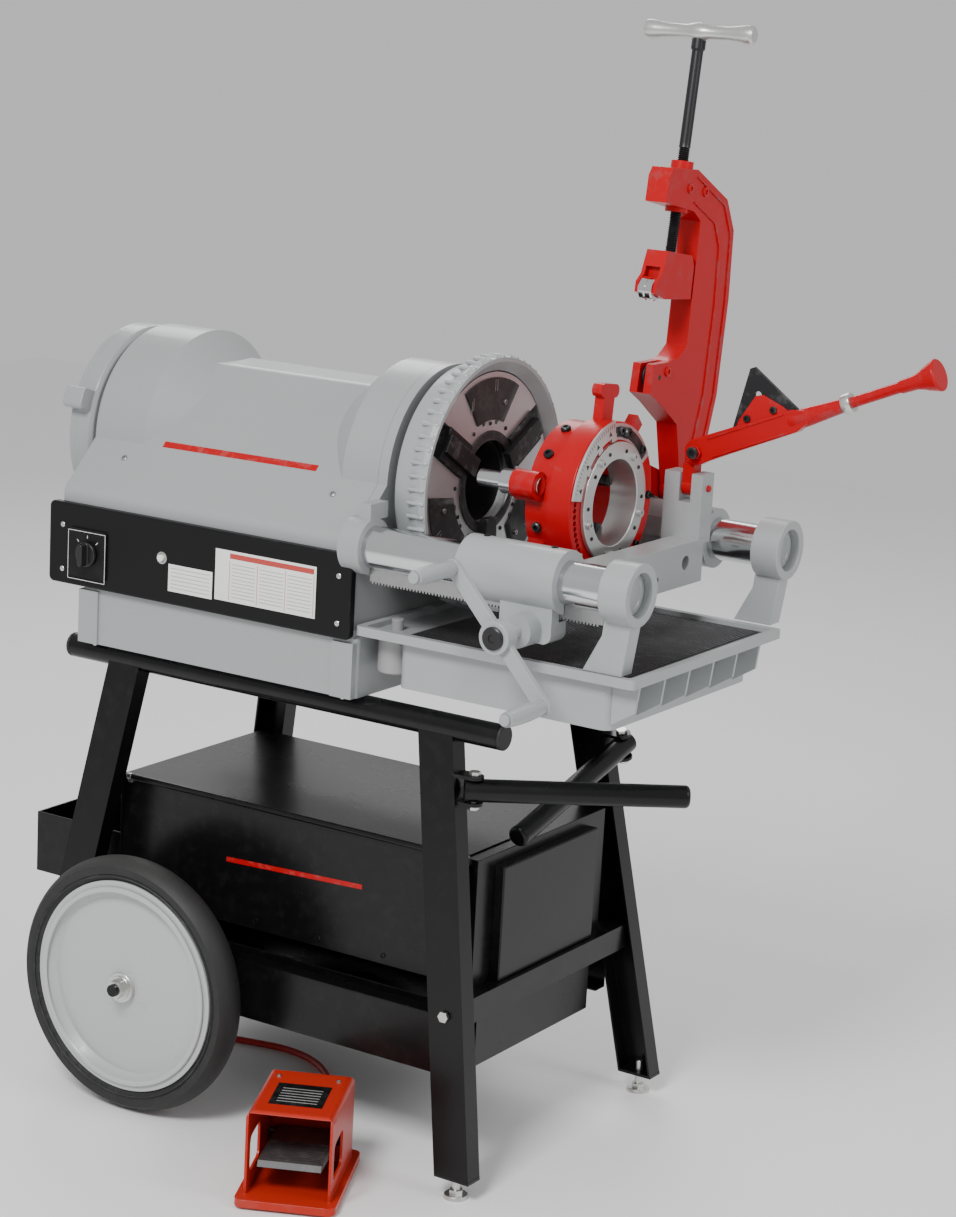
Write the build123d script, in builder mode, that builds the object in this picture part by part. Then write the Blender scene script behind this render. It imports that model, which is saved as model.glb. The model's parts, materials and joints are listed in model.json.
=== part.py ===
"""Pipe threading machine on a wheeled tool stand, with a guarded foot switch on its lead.

Millimetres. +X runs along the spindle from the motor end to the carriage, -Y faces the
operator and +Z is up. The pieces are drawn about the spindle's vertical plane (y = 0) on
the floor (z = 0), and the last section moves them all so that the origin is the middle of
the footprint.
"""
import os
from math import atan2, cos, degrees, hypot, radians, sin, tan

from build123d import *

os.makedirs("parts", exist_ok=True)

# ---------------------------------------------------------------- driving dimensions
running = 0.05            # radial clearance of a shaft in its hole
gap = 0.5                 # gap between neighbours that move past each other

# stand
tube_r = 19.05
tube_wall = 3.0
tube_y = 205.0
tube_z = 688.0
tube_x0 = -598.0
tube_x1 = 202.0
leg_width = 60.0
leg_depth = 32.0
leg_wall = 3.5
leg_lean_x = 0.169        # sideways run of a leg per unit of drop, along X
leg_lean_y = 0.100        # and along Y
right_leg_x = 95.0        # leg centres where they meet the tubes
left_leg_x = -485.0
right_leg_foot_z = 30.0
left_leg_foot_z = 170.0
beam_z0 = 250.0
beam_height = 40.0
beam_width = 40.0
side_rail_height = 90.0
side_rail_z0 = 170.0
plate_wall = 3.0
foot_pad_r = 19.0
foot_stud_r = 6.0
bolt_r = 5.0

# cabinet, bin and tray
cabinet_x0 = -515.0
cabinet_x1 = 160.0
cabinet_half = 185.0
cabinet_height = 198.0
sheet = 2.0
lid_depth = 124.0
hinge_pin_r = 2.5
knuckle_r = 5.0
end_panel_depth = 17.0
end_panel_half = 137.0
end_panel_height = 180.0
bin_length = 173.0
bin_height = 100.0
tray_x0 = -580.0
tray_x1 = 160.0
tray_half = 165.0
tray_height = 90.0

# wheels
wheel_r = 203.2
wheel_x = -381.0
wheel_y = 312.0           # middle of the tyre
tyre_width = 52.0
rim_r = 168.0
axle_r = 9.5
hub_r = 24.0

# handles
handle_r = 17.0
handle_wall = 3.0
handle_length = 330.0
handle_pin_r = 5.0
handle_offset = 24.0      # pivot pin's distance from the leg's side
near_handle_z = 603.0
far_handle_z = 585.0
near_handle_yaw = 37.0
far_handle_drop = 15.0    # the far handle hangs down by this angle

# spindle and head
spindle_z = 1012.0
spindle_bore_r = 62.0
spindle_r = 72.0
dome_r = 170.0
cover_x0 = -600.0
cover_x1 = -60.0
head_x1 = -37.0
cover_half = 242.0
cover_shoulder_z = 945.0
ridge_z = 1140.0
ridge_half = 48.0
cover_wall = 5.0
base_x0 = -559.0
base_wall = 8.0
base_height = 90.0
band_x0 = -615.0
band_x1 = -41.0
band_thickness = 12.0
band_top_z = 925.0
switch_plate_x = -535.5
switch_plate_z = 851.0
knob_stem_r = 6.0
reset_x = -391.0
reset_z = 867.0
reset_r = 5.5
bearing_r = 92.0
rear_plate_x = -545.0
rear_plate_thickness = 22.0
gland_x = -490.0          # cord gland under the base
gland_y = 233.5
gland_r = 8.0
gland_length = 20.0

# motor and drive
motor_r = 66.0
motor_length = 290.0
drive_gear_r = 142.0
drive_gear_width = 22.0
motor_pinion_r = 22.0
drive_angle = -53.0       # the motor's place round the spindle, from +Y

# chuck
plate_r = 166.0
plate_x0 = 0.0
plate_x1 = 23.0
wheel_lip_r = 193.0
wheel_back_r = 173.0
wheel_x0 = -30.0
wheel_x1 = 37.0
jaw_width = 52.0
jaw_depth = 14.0
jaw_inner_r = 66.0
jaw_outer_r = 148.0
scallops = 30
rear_ring_r = 165.0
rear_ring_x0 = -655.0
rear_ring_x1 = -612.0

# rails and pan
rail_r = 31.75
rail_y = 225.8
rail_z = 936.4
rail_x1 = 408.0
rail_boss = 14.0          # how far the rail sockets stand out of the headstock
bracket_x0 = 380.0
bracket_x1 = 425.0
bracket_ring_r = 45.0
pan_x1 = 432.0
pan_near = 246.0
pan_far = 205.0
pan_rim_z = 820.0
pan_depth = 84.0
pan_wall = 4.0
pan_inset = 18.0
rack_height = 18.0
rack_width = 16.0

# carriage
slide_x0 = 145.0
slide_x1 = 308.0
boss_r = 46.0
bridge_width = 46.0
bridge_z0 = 880.0
bridge_z1 = 945.0
hub_x = 262.0
hub_z = 868.0
pinion_r = 18.0
shaft_r = 9.5
crank_r = 116.0
crank_angle = -47.4       # the lower arm, from +X in the XZ plane
crank_y = 331.0
grip_r = 12.5
grip_length = 92.0

# tool hinge on the far rail
hinge_y = 262.0
hinge_z = 995.0
hinge_r = 10.0
lug_r = 23.0

# die head
die_x0 = 160.5
die_x1 = 200.0
cam_x1 = 240.0
throat_x1 = 246.0
die_body_r = 112.0
cam_r = 119.0
cam_bore_r = 84.0
throat_r = 82.0
throat_bore_r = 64.0
die_width = 16.0
die_inner_r = 58.0
die_outer_r = 94.0
dies = 5

# cutter
cutter_x0 = 186.0
cutter_x1 = 222.0
cutter_lean = 8.0
cutter_line = 120.0       # screw line's distance from the hinge
screw_r = 9.0
t_handle_length = 182.0
t_handle_r = 15.0
t_handle_along = 682.0    # T-handle's distance along the screw line

# reamer
ear_x0 = 240.0
ear_x1 = 305.0
ear_y0 = 157.0
ear_y1 = 193.0
ear_z = 1042.0
knuckle_pin_y = 175.0
knuckle_pin_z = 1020.0
knuckle_pin_r = 5.0
tongue_x = 276.0
tongue_width = 19.0
ream_pin_x = 291.0
ream_pin_y = 167.0
ream_pin_z = 1076.0
ream_lift = 23.2
ream_length = 408.0
blade_thickness = 6.0

# foot switch
switch_x = 0.0
switch_y = -382.0
switch_yaw = 25.0
guard_width = 128.0
guard_depth = 178.0
guard_height = 128.0
guard_wall = 4.0
switch_base_width = 150.0
switch_base_depth = 222.0
switch_base_height = 12.0
rubber_foot = 4.0
switch_gland_z = 30.0
switch_gland_length = 12.0
treadle_width = 95.0
treadle_hinge_y = 70.0
treadle_hinge_z = 52.0
cord_r = 5.5

# ---------------------------------------------------------------- derived sizes
tube_top = tube_z + tube_r
base_z0 = tube_top
base_z1 = base_z0 + base_height
cabinet_z0 = beam_z0 + beam_height
cabinet_z1 = cabinet_z0 + cabinet_height
tray_z1 = beam_z0
tray_z0 = tray_z1 - tray_height
pan_floor_z = pan_rim_z - pan_depth
motor_y = (drive_gear_r + motor_pinion_r + 0.1) * cos(radians(drive_angle))
motor_z = spindle_z + (drive_gear_r + motor_pinion_r + 0.1) * sin(radians(drive_angle))
drive_gear_x1 = cover_x1 - 4.0
drive_gear_x0 = drive_gear_x1 - drive_gear_width
spindle_x1 = plate_x1 - jaw_depth - 1.0
rack_z1 = rail_z - rail_r
rack_z0 = rack_z1 - rack_height
pieces = {}


def keep(name, piece):
    """Label a finished piece and put it on the list of nodes."""
    piece.part.label = name
    pieces[name] = piece.part


def keep_group(name, *members):
    """Keep several finished builders as one node of separate solids."""
    solids = [solid for member in members for solid in member.part.solids()]
    group = Compound(solids)
    group.label = name
    pieces[name] = group


def leg_x(top_x, z):
    """Centre of a leg along X at height z; legs spread away from the stand's middle."""
    side = 1 if top_x > (right_leg_x + left_leg_x) / 2 else -1
    return top_x + side * leg_lean_x * (tube_z - z)


def leg_y(z):
    """Distance of a leg's centre from the middle plane at height z."""
    return tube_y + leg_lean_y * (tube_z - z)


# ---------------------------------------------------------------- stand: tubes and caps
with BuildPart() as top_tubes:
    with BuildSketch(Plane.YZ.offset(tube_x0)):
        with Locations((-tube_y, tube_z), (tube_y, tube_z)):
            Circle(tube_r)
            Circle(tube_r - tube_wall, mode=Mode.SUBTRACT)
    extrude(amount=tube_x1 - tube_x0)
keep("top_tubes", top_tubes)

with BuildPart() as tube_caps:
    for end, way in ((tube_x0, -1), (tube_x1, 1)):
        with BuildSketch(Plane.YZ.offset(end)):
            with Locations((-tube_y, tube_z), (tube_y, tube_z)):
                Circle(tube_r)
        extrude(amount=way * 5)
        with BuildSketch(Plane.YZ.offset(end)):
            with Locations((-tube_y, tube_z), (tube_y, tube_z)):
                Circle(tube_r - tube_wall - running)
        extrude(amount=-way * 16)
    fillet(tube_caps.edges().filter_by(GeomType.CIRCLE).group_by(Axis.X)[0], 2)
    fillet(tube_caps.edges().filter_by(GeomType.CIRCLE).group_by(Axis.X)[-1], 2)
keep("tube_caps", tube_caps)


# ---------------------------------------------------------------- stand: legs
def make_leg(top_x, side, foot_z):
    """A folded channel from under a tube down to foot_z, open towards the cabinet."""
    drop = tube_z - foot_z
    lean = Vector(leg_x(top_x, foot_z) - top_x, side * leg_lean_y * drop, -drop)
    inward = -side
    with BuildPart() as leg:
        with BuildSketch(Plane.XY.offset(tube_z)):
            with Locations((top_x, side * tube_y)):
                Rectangle(leg_width, leg_depth)
            with Locations((top_x, side * tube_y + inward * leg_wall)):
                Rectangle(leg_width - 2 * leg_wall, leg_depth, mode=Mode.SUBTRACT)
        extrude(amount=lean.length, dir=lean.normalized())
        with BuildSketch(Plane.XY.offset(foot_z)):
            with Locations((leg_x(top_x, foot_z), side * leg_y(foot_z))):
                Rectangle(leg_width, leg_depth)
        extrude(amount=leg_wall + 1)
        with BuildSketch(Plane.XY.offset(foot_z)):
            with Locations((leg_x(top_x, foot_z), side * leg_y(foot_z))):
                Circle(foot_stud_r + running)
        extrude(amount=2 * leg_wall, both=True, mode=Mode.SUBTRACT)
        with BuildSketch(Plane.YZ.offset(top_x - leg_width)):
            with Locations((side * tube_y, tube_z)):
                Circle(tube_r)
        extrude(amount=2 * leg_width, mode=Mode.SUBTRACT)
        bolt_z = beam_z0 + beam_height / 2
        with BuildSketch(Plane.XZ.offset(-side * (leg_y(bolt_z) + leg_depth))):
            with Locations((leg_x(top_x, bolt_z), bolt_z)):
                Circle(bolt_r + running)
        extrude(amount=side * (leg_depth + 6), mode=Mode.SUBTRACT)
    return leg


near_right_leg = make_leg(right_leg_x, -1, right_leg_foot_z)
far_right_leg = make_leg(right_leg_x, 1, right_leg_foot_z)
near_left_leg = make_leg(left_leg_x, -1, left_leg_foot_z)
far_left_leg = make_leg(left_leg_x, 1, left_leg_foot_z)

# ---------------------------------------------------------------- stand: beams between legs
beam_mid_z = beam_z0 + beam_height / 2
beam_right_x = leg_x(right_leg_x, beam_mid_z)
beam_left_x = leg_x(left_leg_x, beam_mid_z)
beam_half = leg_y(beam_mid_z) + leg_depth / 2 - leg_wall - 3.0

with BuildPart() as cross_beams:
    with BuildSketch(Plane.XY.offset(beam_z0)):
        with Locations((beam_right_x, 0), (beam_left_x, 0)):
            Rectangle(beam_width, 2 * beam_half)
    extrude(amount=beam_height)
    with BuildSketch(Plane.XZ.offset(-beam_half - 1)):
        with Locations((beam_right_x, beam_mid_z), (beam_left_x, beam_mid_z)):
            Rectangle(beam_width - 2 * plate_wall, beam_height - 2 * plate_wall)
    extrude(amount=2 * beam_half + 2, mode=Mode.SUBTRACT)

side_rail_x0 = beam_left_x + beam_width / 2
side_rail_x1 = beam_right_x - beam_width / 2
side_rail_y = wheel_y - tyre_width / 2 - 42.0
with BuildPart() as side_rails:
    for side in (-1, 1):
        with BuildSketch(Plane.YZ.offset(side_rail_x0)):
            with Locations((side * side_rail_y, side_rail_z0 + side_rail_height / 2)):
                Rectangle(plate_wall, side_rail_height)
            with Locations((side * (side_rail_y - 13), side_rail_z0 + plate_wall / 2)):
                Rectangle(28, plate_wall)
            with Locations((side * (side_rail_y - 13), side_rail_z0 + side_rail_height)):
                Rectangle(28, plate_wall)
        extrude(amount=side_rail_x1 - side_rail_x0)
        with BuildSketch(Plane.XZ.offset(-side * (side_rail_y - 6))):
            with Locations((wheel_x, wheel_r)):
                Circle(axle_r + running)
        extrude(amount=-side * 12, mode=Mode.SUBTRACT)
    for leg in (near_right_leg, far_right_leg, near_left_leg, far_left_leg):
        add(leg.part, mode=Mode.SUBTRACT)

with BuildPart() as frame_bolts:
    for top_x in (right_leg_x, left_leg_x):
        for side in (-1, 1):
            outer = leg_y(beam_mid_z) + leg_depth / 2 + 1.2
            with BuildSketch(Plane.XZ.offset(-side * outer)):
                with Locations((leg_x(top_x, beam_mid_z), beam_mid_z)):
                    RegularPolygon(9, 6)
            extrude(amount=-side * 6)
            with BuildSketch(Plane.XZ.offset(-side * outer)):
                with Locations((leg_x(top_x, beam_mid_z), beam_mid_z)):
                    Circle(bolt_r)
            extrude(amount=side * 6)


# ---------------------------------------------------------------- stand: levelling feet
def make_foot(side):
    """A round pad with a hexagon and a stud that screws into the leg's foot plate."""
    x = leg_x(right_leg_x, right_leg_foot_z)
    y = side * leg_y(right_leg_foot_z)
    with BuildPart() as foot:
        with BuildSketch(Plane.XY):
            with Locations((x, y)):
                Circle(foot_pad_r)
        extrude(amount=6, taper=12)
        with BuildSketch(Plane.XY.offset(6)):
            with Locations((x, y)):
                RegularPolygon(11, 6)
        extrude(amount=7)
        with BuildSketch(Plane.XY.offset(13)):
            with Locations((x, y)):
                Circle(foot_stud_r)
        extrude(amount=right_leg_foot_z + 22 - 13)
    return foot


near_levelling_foot = make_foot(-1)
keep("near_levelling_foot", near_levelling_foot)
far_levelling_foot = make_foot(1)
keep("far_levelling_foot", far_levelling_foot)

# ---------------------------------------------------------------- cabinet, lid, bin and tray
cabinet_length = cabinet_x1 - cabinet_x0
cabinet_mid_x = (cabinet_x0 + cabinet_x1) / 2
lid_x0 = cabinet_x0 + 26
lid_x1 = cabinet_x1 - 22
lid_y0 = -cabinet_half + 1
lid_y1 = lid_y0 + lid_depth
with BuildPart() as cabinet:
    with BuildSketch(Plane.XY.offset(cabinet_z0)):
        with Locations((cabinet_mid_x, 0)):
            Rectangle(cabinet_length, 2 * cabinet_half)
    extrude(amount=cabinet_height)
    with BuildSketch(Plane.XY.offset(cabinet_z0 + sheet)):
        with Locations((cabinet_mid_x, 0)):
            Rectangle(cabinet_length - 2 * sheet, 2 * (cabinet_half - sheet))
    extrude(amount=cabinet_height - 2 * sheet, mode=Mode.SUBTRACT)
    with BuildSketch(Plane.XY.offset(cabinet_z1 - 2 * sheet)):
        with Locations(((lid_x0 + lid_x1) / 2, (lid_y0 + sheet + lid_y1 - 8) / 2)):
            Rectangle(lid_x1 - lid_x0 - 20, lid_y1 - 8 - lid_y0 - sheet)
    extrude(amount=3 * sheet, mode=Mode.SUBTRACT)

hinge_line_y = -cabinet_half - knuckle_r
hinge_line_z = cabinet_z1 + 1.0
with BuildPart() as cabinet_lid:
    with BuildSketch(Plane.XY.offset(cabinet_z1 + 0.3)):
        with Locations(((lid_x0 + lid_x1) / 2, (hinge_line_y + lid_y1) / 2)):
            Rectangle(lid_x1 - lid_x0, lid_y1 - hinge_line_y)
    extrude(amount=sheet)
    with BuildSketch(Plane.YZ.offset(lid_x0)):
        with Locations((hinge_line_y, hinge_line_z)):
            Circle(knuckle_r)
    extrude(amount=lid_x1 - lid_x0)
    with BuildSketch(Plane.YZ.offset(lid_x0 - 1)):
        with Locations((hinge_line_y, hinge_line_z)):
            Circle(hinge_pin_r + running)
    extrude(amount=lid_x1 - lid_x0 + 2, mode=Mode.SUBTRACT)
keep("cabinet_lid", cabinet_lid)

with BuildPart() as lid_hinge_pin:
    with BuildSketch(Plane.YZ.offset(lid_x0 - 8)):
        with Locations((hinge_line_y, hinge_line_z)):
            Circle(hinge_pin_r)
    extrude(amount=lid_x1 - lid_x0 + 16)
    for x in (lid_x0 - 8, lid_x1 + gap):
        with BuildSketch(Plane.YZ.offset(x)):
            with Locations((hinge_line_y, hinge_line_z)):
                Circle(knuckle_r)
            with Locations((hinge_line_y + knuckle_r / 2, hinge_line_z - knuckle_r)):
                Rectangle(knuckle_r, 2 * knuckle_r)
        extrude(amount=8 - gap)

with BuildPart() as cabinet_end_panel:
    with BuildSketch(Plane.XY.offset(cabinet_z0)):
        with Locations((cabinet_x1 + end_panel_depth / 2, 0)):
            Rectangle(end_panel_depth, 2 * end_panel_half)
    extrude(amount=end_panel_height)
    fillet(cabinet_end_panel.edges().group_by(Axis.X)[-1], 3)
    with BuildSketch(Plane.YZ.offset(cabinet_x1)):
        with Locations((0, cabinet_z0 + end_panel_height / 2)):
            Rectangle(2 * end_panel_half - 8, end_panel_height - 8)
    extrude(amount=end_panel_depth - 4, mode=Mode.SUBTRACT)
keep_group("cabinet", cabinet, cabinet_end_panel)

with BuildPart() as tool_bin:
    with BuildSketch(Plane.XY.offset(cabinet_z0)):
        with Locations((cabinet_x0 - bin_length / 2, 0)):
            Rectangle(bin_length, 2 * cabinet_half)
    extrude(amount=bin_height)
    with BuildSketch(Plane.XY.offset(cabinet_z0 + plate_wall)):
        with Locations((cabinet_x0 - bin_length / 2, 0)):
            Rectangle(bin_length - 2 * plate_wall, 2 * (cabinet_half - plate_wall))
    extrude(amount=bin_height, mode=Mode.SUBTRACT)
keep("tool_bin", tool_bin)

with BuildPart() as lower_tray:
    with BuildSketch(Plane.XY.offset(tray_z0)):
        with Locations(((tray_x0 + tray_x1) / 2, 0)):
            Rectangle(tray_x1 - tray_x0, 2 * tray_half)
    extrude(amount=tray_height)
    with BuildSketch(Plane.XY.offset(tray_z0 + plate_wall)):
        with Locations(((tray_x0 + tray_x1) / 2, 0)):
            Rectangle(tray_x1 - tray_x0 - 2 * plate_wall, 2 * (tray_half - plate_wall))
    extrude(amount=tray_height, mode=Mode.SUBTRACT)
keep("lower_tray", lower_tray)

# ---------------------------------------------------------------- wheels
axle_end = wheel_y + tyre_width / 2 + 22.0
hub_inner = wheel_y - tyre_width / 2 - 20.0
hub_outer = wheel_y + tyre_width / 2 + 2.0

with BuildPart() as stub_axles:
    for side in (-1, 1):
        with BuildSketch(Plane.XZ.offset(-side * (side_rail_y - 14))):
            with Locations((wheel_x, wheel_r)):
                Circle(axle_r)
        extrude(amount=-side * (axle_end - side_rail_y + 14))
        with BuildSketch(Plane.XZ.offset(-side * (side_rail_y + plate_wall / 2))):
            with Locations((wheel_x, wheel_r)):
                Circle(hub_r - 2)
        extrude(amount=-side * (hub_inner - gap - side_rail_y - plate_wall / 2))
        with BuildSketch(Plane.XZ.offset(-side * (side_rail_y - plate_wall / 2))):
            with Locations((wheel_x, wheel_r)):
                RegularPolygon(16, 6)
        extrude(amount=side * 11)
keep_group("stand_beams", cross_beams, side_rails, stub_axles)


def make_tyre(side):
    """A solid rubber tyre: round shoulders, flat tread, seated on the disc's rim."""
    half = tyre_width / 2
    with BuildPart() as tyre:
        with BuildSketch(Plane.XY) as section:
            with BuildLine():
                Polyline((rim_r, -half + 8), (rim_r, half - 8), (rim_r + 14, half), (wheel_r - 12, half))
                ThreePointArc((wheel_r - 12, half), (wheel_r, 0), (wheel_r - 12, -half))
                Polyline((wheel_r - 12, -half), (rim_r + 14, -half), (rim_r, -half + 8))
            make_face()
        revolve(axis=Axis.Y)
    placed = tyre.part.moved(Location((wheel_x, side * wheel_y, wheel_r)))
    with BuildPart() as seated:
        add(placed)
    return seated


def make_disc(side):
    """A dished steel disc with its rolled rim and a hub that runs on the stub axle."""
    half = tyre_width / 2
    with BuildPart() as disc:
        with BuildSketch(Plane.XY):
            with BuildLine():
                Polyline(
                    (hub_r, half - 6), (hub_r + 30, half - 12), (rim_r - 26, half - 16),
                    (rim_r - 12, half - 4), (rim_r - running, half - 4), (rim_r - running, -half + 8),
                    (rim_r - 6, -half + 8), (rim_r - 6, half - 8), (rim_r - 14, half - 8),
                    (rim_r - 24, half - 20), (hub_r + 28, half - 16), (hub_r, half - 10),
                    (hub_r, half - 6),
                )
            make_face()
        revolve(axis=Axis.Y)
        with BuildSketch(Plane.XZ.offset(-(hub_outer - wheel_y))):
            Circle(hub_r)
            Circle(axle_r + running, mode=Mode.SUBTRACT)
        extrude(amount=hub_outer - hub_inner)
    turned = disc.part if side > 0 else disc.part.mirror(Plane.XZ)
    placed = turned.moved(Location((wheel_x, side * wheel_y, wheel_r)))
    with BuildPart() as seated:
        add(placed)
    return seated


near_tyre = make_tyre(-1)
keep("near_tyre", near_tyre)
far_tyre = make_tyre(1)
keep("far_tyre", far_tyre)
near_wheel_disc = make_disc(-1)
keep("near_wheel_disc", near_wheel_disc)
far_wheel_disc = make_disc(1)
keep("far_wheel_disc", far_wheel_disc)

with BuildPart() as wheel_nuts:
    for side in (-1, 1):
        with BuildSketch(Plane.XZ.offset(-side * (hub_outer + gap))):
            with Locations((wheel_x, wheel_r)):
                Circle(19)
                Circle(axle_r, mode=Mode.SUBTRACT)
        extrude(amount=-side * 2.5)
        with BuildSketch(Plane.XZ.offset(-side * (hub_outer + gap + 2.5))):
            with Locations((wheel_x, wheel_r)):
                RegularPolygon(15, 6)
                Circle(axle_r, mode=Mode.SUBTRACT)
        extrude(amount=-side * 12)


# ---------------------------------------------------------------- lifting handles
def handle_plane(side):
    """The handle's own plane: origin on the pivot, X along the tube, Z along the pin."""
    z = near_handle_z if side < 0 else far_handle_z
    x = leg_x(right_leg_x, z) + leg_width / 2 + handle_offset
    origin = Vector(x, side * leg_y(z), z)
    if side < 0:
        yaw = radians(near_handle_yaw)
        return Plane(origin=origin, x_dir=(cos(yaw), sin(yaw), 0), z_dir=(0, 0, 1))
    drop = radians(far_handle_drop)
    return Plane(origin=origin, x_dir=(0, -cos(drop), -sin(drop)), z_dir=(0, -sin(drop), cos(drop)))


def make_handle(side):
    """A closed steel tube that swings on its pivot pin."""
    plane = handle_plane(side)
    across = Plane(origin=plane.origin - plane.x_dir * 14, x_dir=plane.y_dir, z_dir=plane.x_dir)
    with BuildPart() as handle:
        with BuildSketch(across):
            Circle(handle_r)
        extrude(amount=handle_length)
        fillet(handle.faces().sort_by(Axis(plane.origin, plane.x_dir))[-1].edges(), 7)
        with BuildSketch(across):
            Circle(handle_r - handle_wall)
        extrude(amount=handle_length - 12, mode=Mode.SUBTRACT)
        with BuildSketch(plane.offset(-handle_r - 1)):
            Circle(handle_pin_r + running)
        extrude(amount=2 * handle_r + 2, mode=Mode.SUBTRACT)
    return handle


near_handle = make_handle(-1)
keep("near_handle", near_handle)
far_handle = make_handle(1)
keep("far_handle", far_handle)

lug_gap = handle_r + gap
with BuildPart() as handle_brackets:
    for side in (-1, 1):
        plane = handle_plane(side)
        upright = Plane(origin=plane.origin, x_dir=(1, 0, 0), z_dir=plane.z_dir)
        for level in (lug_gap, -lug_gap - 5):
            with BuildSketch(upright.offset(level)):
                Circle(handle_pin_r + 9)
                with Locations((-handle_offset / 2, 0)):
                    Rectangle(handle_offset, 2 * (handle_pin_r + 9))
            extrude(amount=5)
        with BuildSketch(upright.offset(-lug_gap - 5)):
            with Locations((-handle_offset - 3, 0)):
                Rectangle(6, 2 * (handle_pin_r + 9))
        extrude(amount=2 * lug_gap + 10)
        with BuildSketch(upright.offset(-lug_gap - 6)):
            Circle(handle_pin_r + running)
        extrude(amount=2 * lug_gap + 12, mode=Mode.SUBTRACT)
    for leg in (near_right_leg, far_right_leg):
        add(leg.part, mode=Mode.SUBTRACT)
keep_group("legs", near_right_leg, far_right_leg, near_left_leg, far_left_leg, handle_brackets)

with BuildPart() as handle_pins:
    for side in (-1, 1):
        plane = handle_plane(side)
        with BuildSketch(plane.offset(-lug_gap - 9)):
            Circle(handle_pin_r)
        extrude(amount=2 * lug_gap + 18)
        with BuildSketch(plane.offset(lug_gap + 5 + 0.2)):
            RegularPolygon(9, 6)
        extrude(amount=6)
        with BuildSketch(plane.offset(-lug_gap - 5 - 0.2)):
            RegularPolygon(9, 6)
        extrude(amount=-6)
keep_group("stand_fasteners", frame_bolts, lid_hinge_pin, wheel_nuts, handle_pins)

# ---------------------------------------------------------------- machine base
with BuildPart() as base_casting:
    base_mid_x = (base_x0 + head_x1) / 2
    with BuildSketch(Plane.XY.offset(base_z0)):
        with Locations((base_mid_x, 0)):
            RectangleRounded(head_x1 - base_x0, 2 * cover_half, 14)
    extrude(amount=base_height)
    with BuildSketch(Plane.XY.offset(base_z0)):
        for x in (base_x0 + 18, head_x1 - 21):
            for side in (-1, 1):
                with Locations((x, side * (cover_half - 14))):
                    Rectangle(38, 36)
    extrude(amount=base_height - 6)
    with BuildSketch(Plane.XY.offset(base_z0 + base_wall)):
        with Locations((base_mid_x, 0)):
            Rectangle(head_x1 - base_x0 - 2 * base_wall, 2 * (cover_half - base_wall))
    extrude(amount=base_height, mode=Mode.SUBTRACT)
    with BuildSketch(Plane.YZ.offset(rear_plate_x)):
        with Locations((0, (base_z0 + 1 + spindle_z) / 2)):
            Rectangle(2 * (bearing_r + 18), spindle_z - base_z0 - 1)
        with Locations((0, spindle_z)):
            Circle(bearing_r + 18)
    extrude(amount=rear_plate_thickness)
    with BuildSketch(Plane.YZ.offset(rear_plate_x - 1)):
        with Locations((0, spindle_z)):
            Circle(bearing_r + running)
    extrude(amount=rear_plate_thickness + 2, mode=Mode.SUBTRACT)
    with BuildSketch(Plane.XY.offset(base_z0 + 1)):
        with Locations((gland_x, gland_y)):
            Circle(gland_r)
    extrude(amount=-gland_length - 1)
keep("base_casting", base_casting)


def head_outline(inset):
    """Cover section across the spindle: upright sides, sloping shoulders, rounded ridge."""
    half = cover_half - inset
    top = ridge_z - inset
    shoulder = cover_shoulder_z - inset * 0.45
    ridge = ridge_half - inset * 0.3
    with BuildSketch(Plane.XY) as outline:
        with BuildLine():
            FilletPolyline(
                (-half, base_z1), (-half, shoulder), (-ridge, top), (ridge, top),
                (half, shoulder), (half, base_z1), radius=24, close=False,
            )
            Line((half, base_z1), (-half, base_z1))
        make_face()
    return outline.sketch


def cover_body(inset):
    """The solid inside the cover's skin at a given inset: ridge, rear dome and front dome."""
    x0 = cover_x0 + inset
    cone = 58.0
    dome_length = 100.0
    with BuildPart() as body:
        with BuildSketch(Plane.YZ.offset(x0)):
            add(head_outline(inset))
        extrude(amount=cover_x1 - x0)
        for start, way in ((x0, 1), (cover_x1, -1)):
            flat = dome_length - inset if way > 0 else dome_length - 36
            with BuildSketch(Plane.YZ.offset(start)):
                with Locations((0, spindle_z)):
                    Circle(dome_r - inset)
            extrude(amount=way * flat)
            with BuildSketch(Plane.YZ.offset(start + way * flat)):
                with Locations((0, spindle_z)):
                    Circle(dome_r - inset)
            with BuildSketch(Plane.YZ.offset(start + way * (flat + cone))):
                with Locations((0, spindle_z)):
                    Circle(dome_r - inset - 48)
            loft()
    return body.part


with BuildPart() as housing_cover:
    add(cover_body(0))
    fillet(housing_cover.faces().sort_by(Axis.X)[0].edges().sort_by(Axis.Z)[1:], 6)
    add(cover_body(cover_wall), mode=Mode.SUBTRACT)
    with BuildSketch(Plane.YZ.offset(cover_x0 - 1)):
        with Locations((0, spindle_z)):
            Circle(spindle_r + 4)
    extrude(amount=30, mode=Mode.SUBTRACT)
keep("housing_cover", housing_cover)

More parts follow.
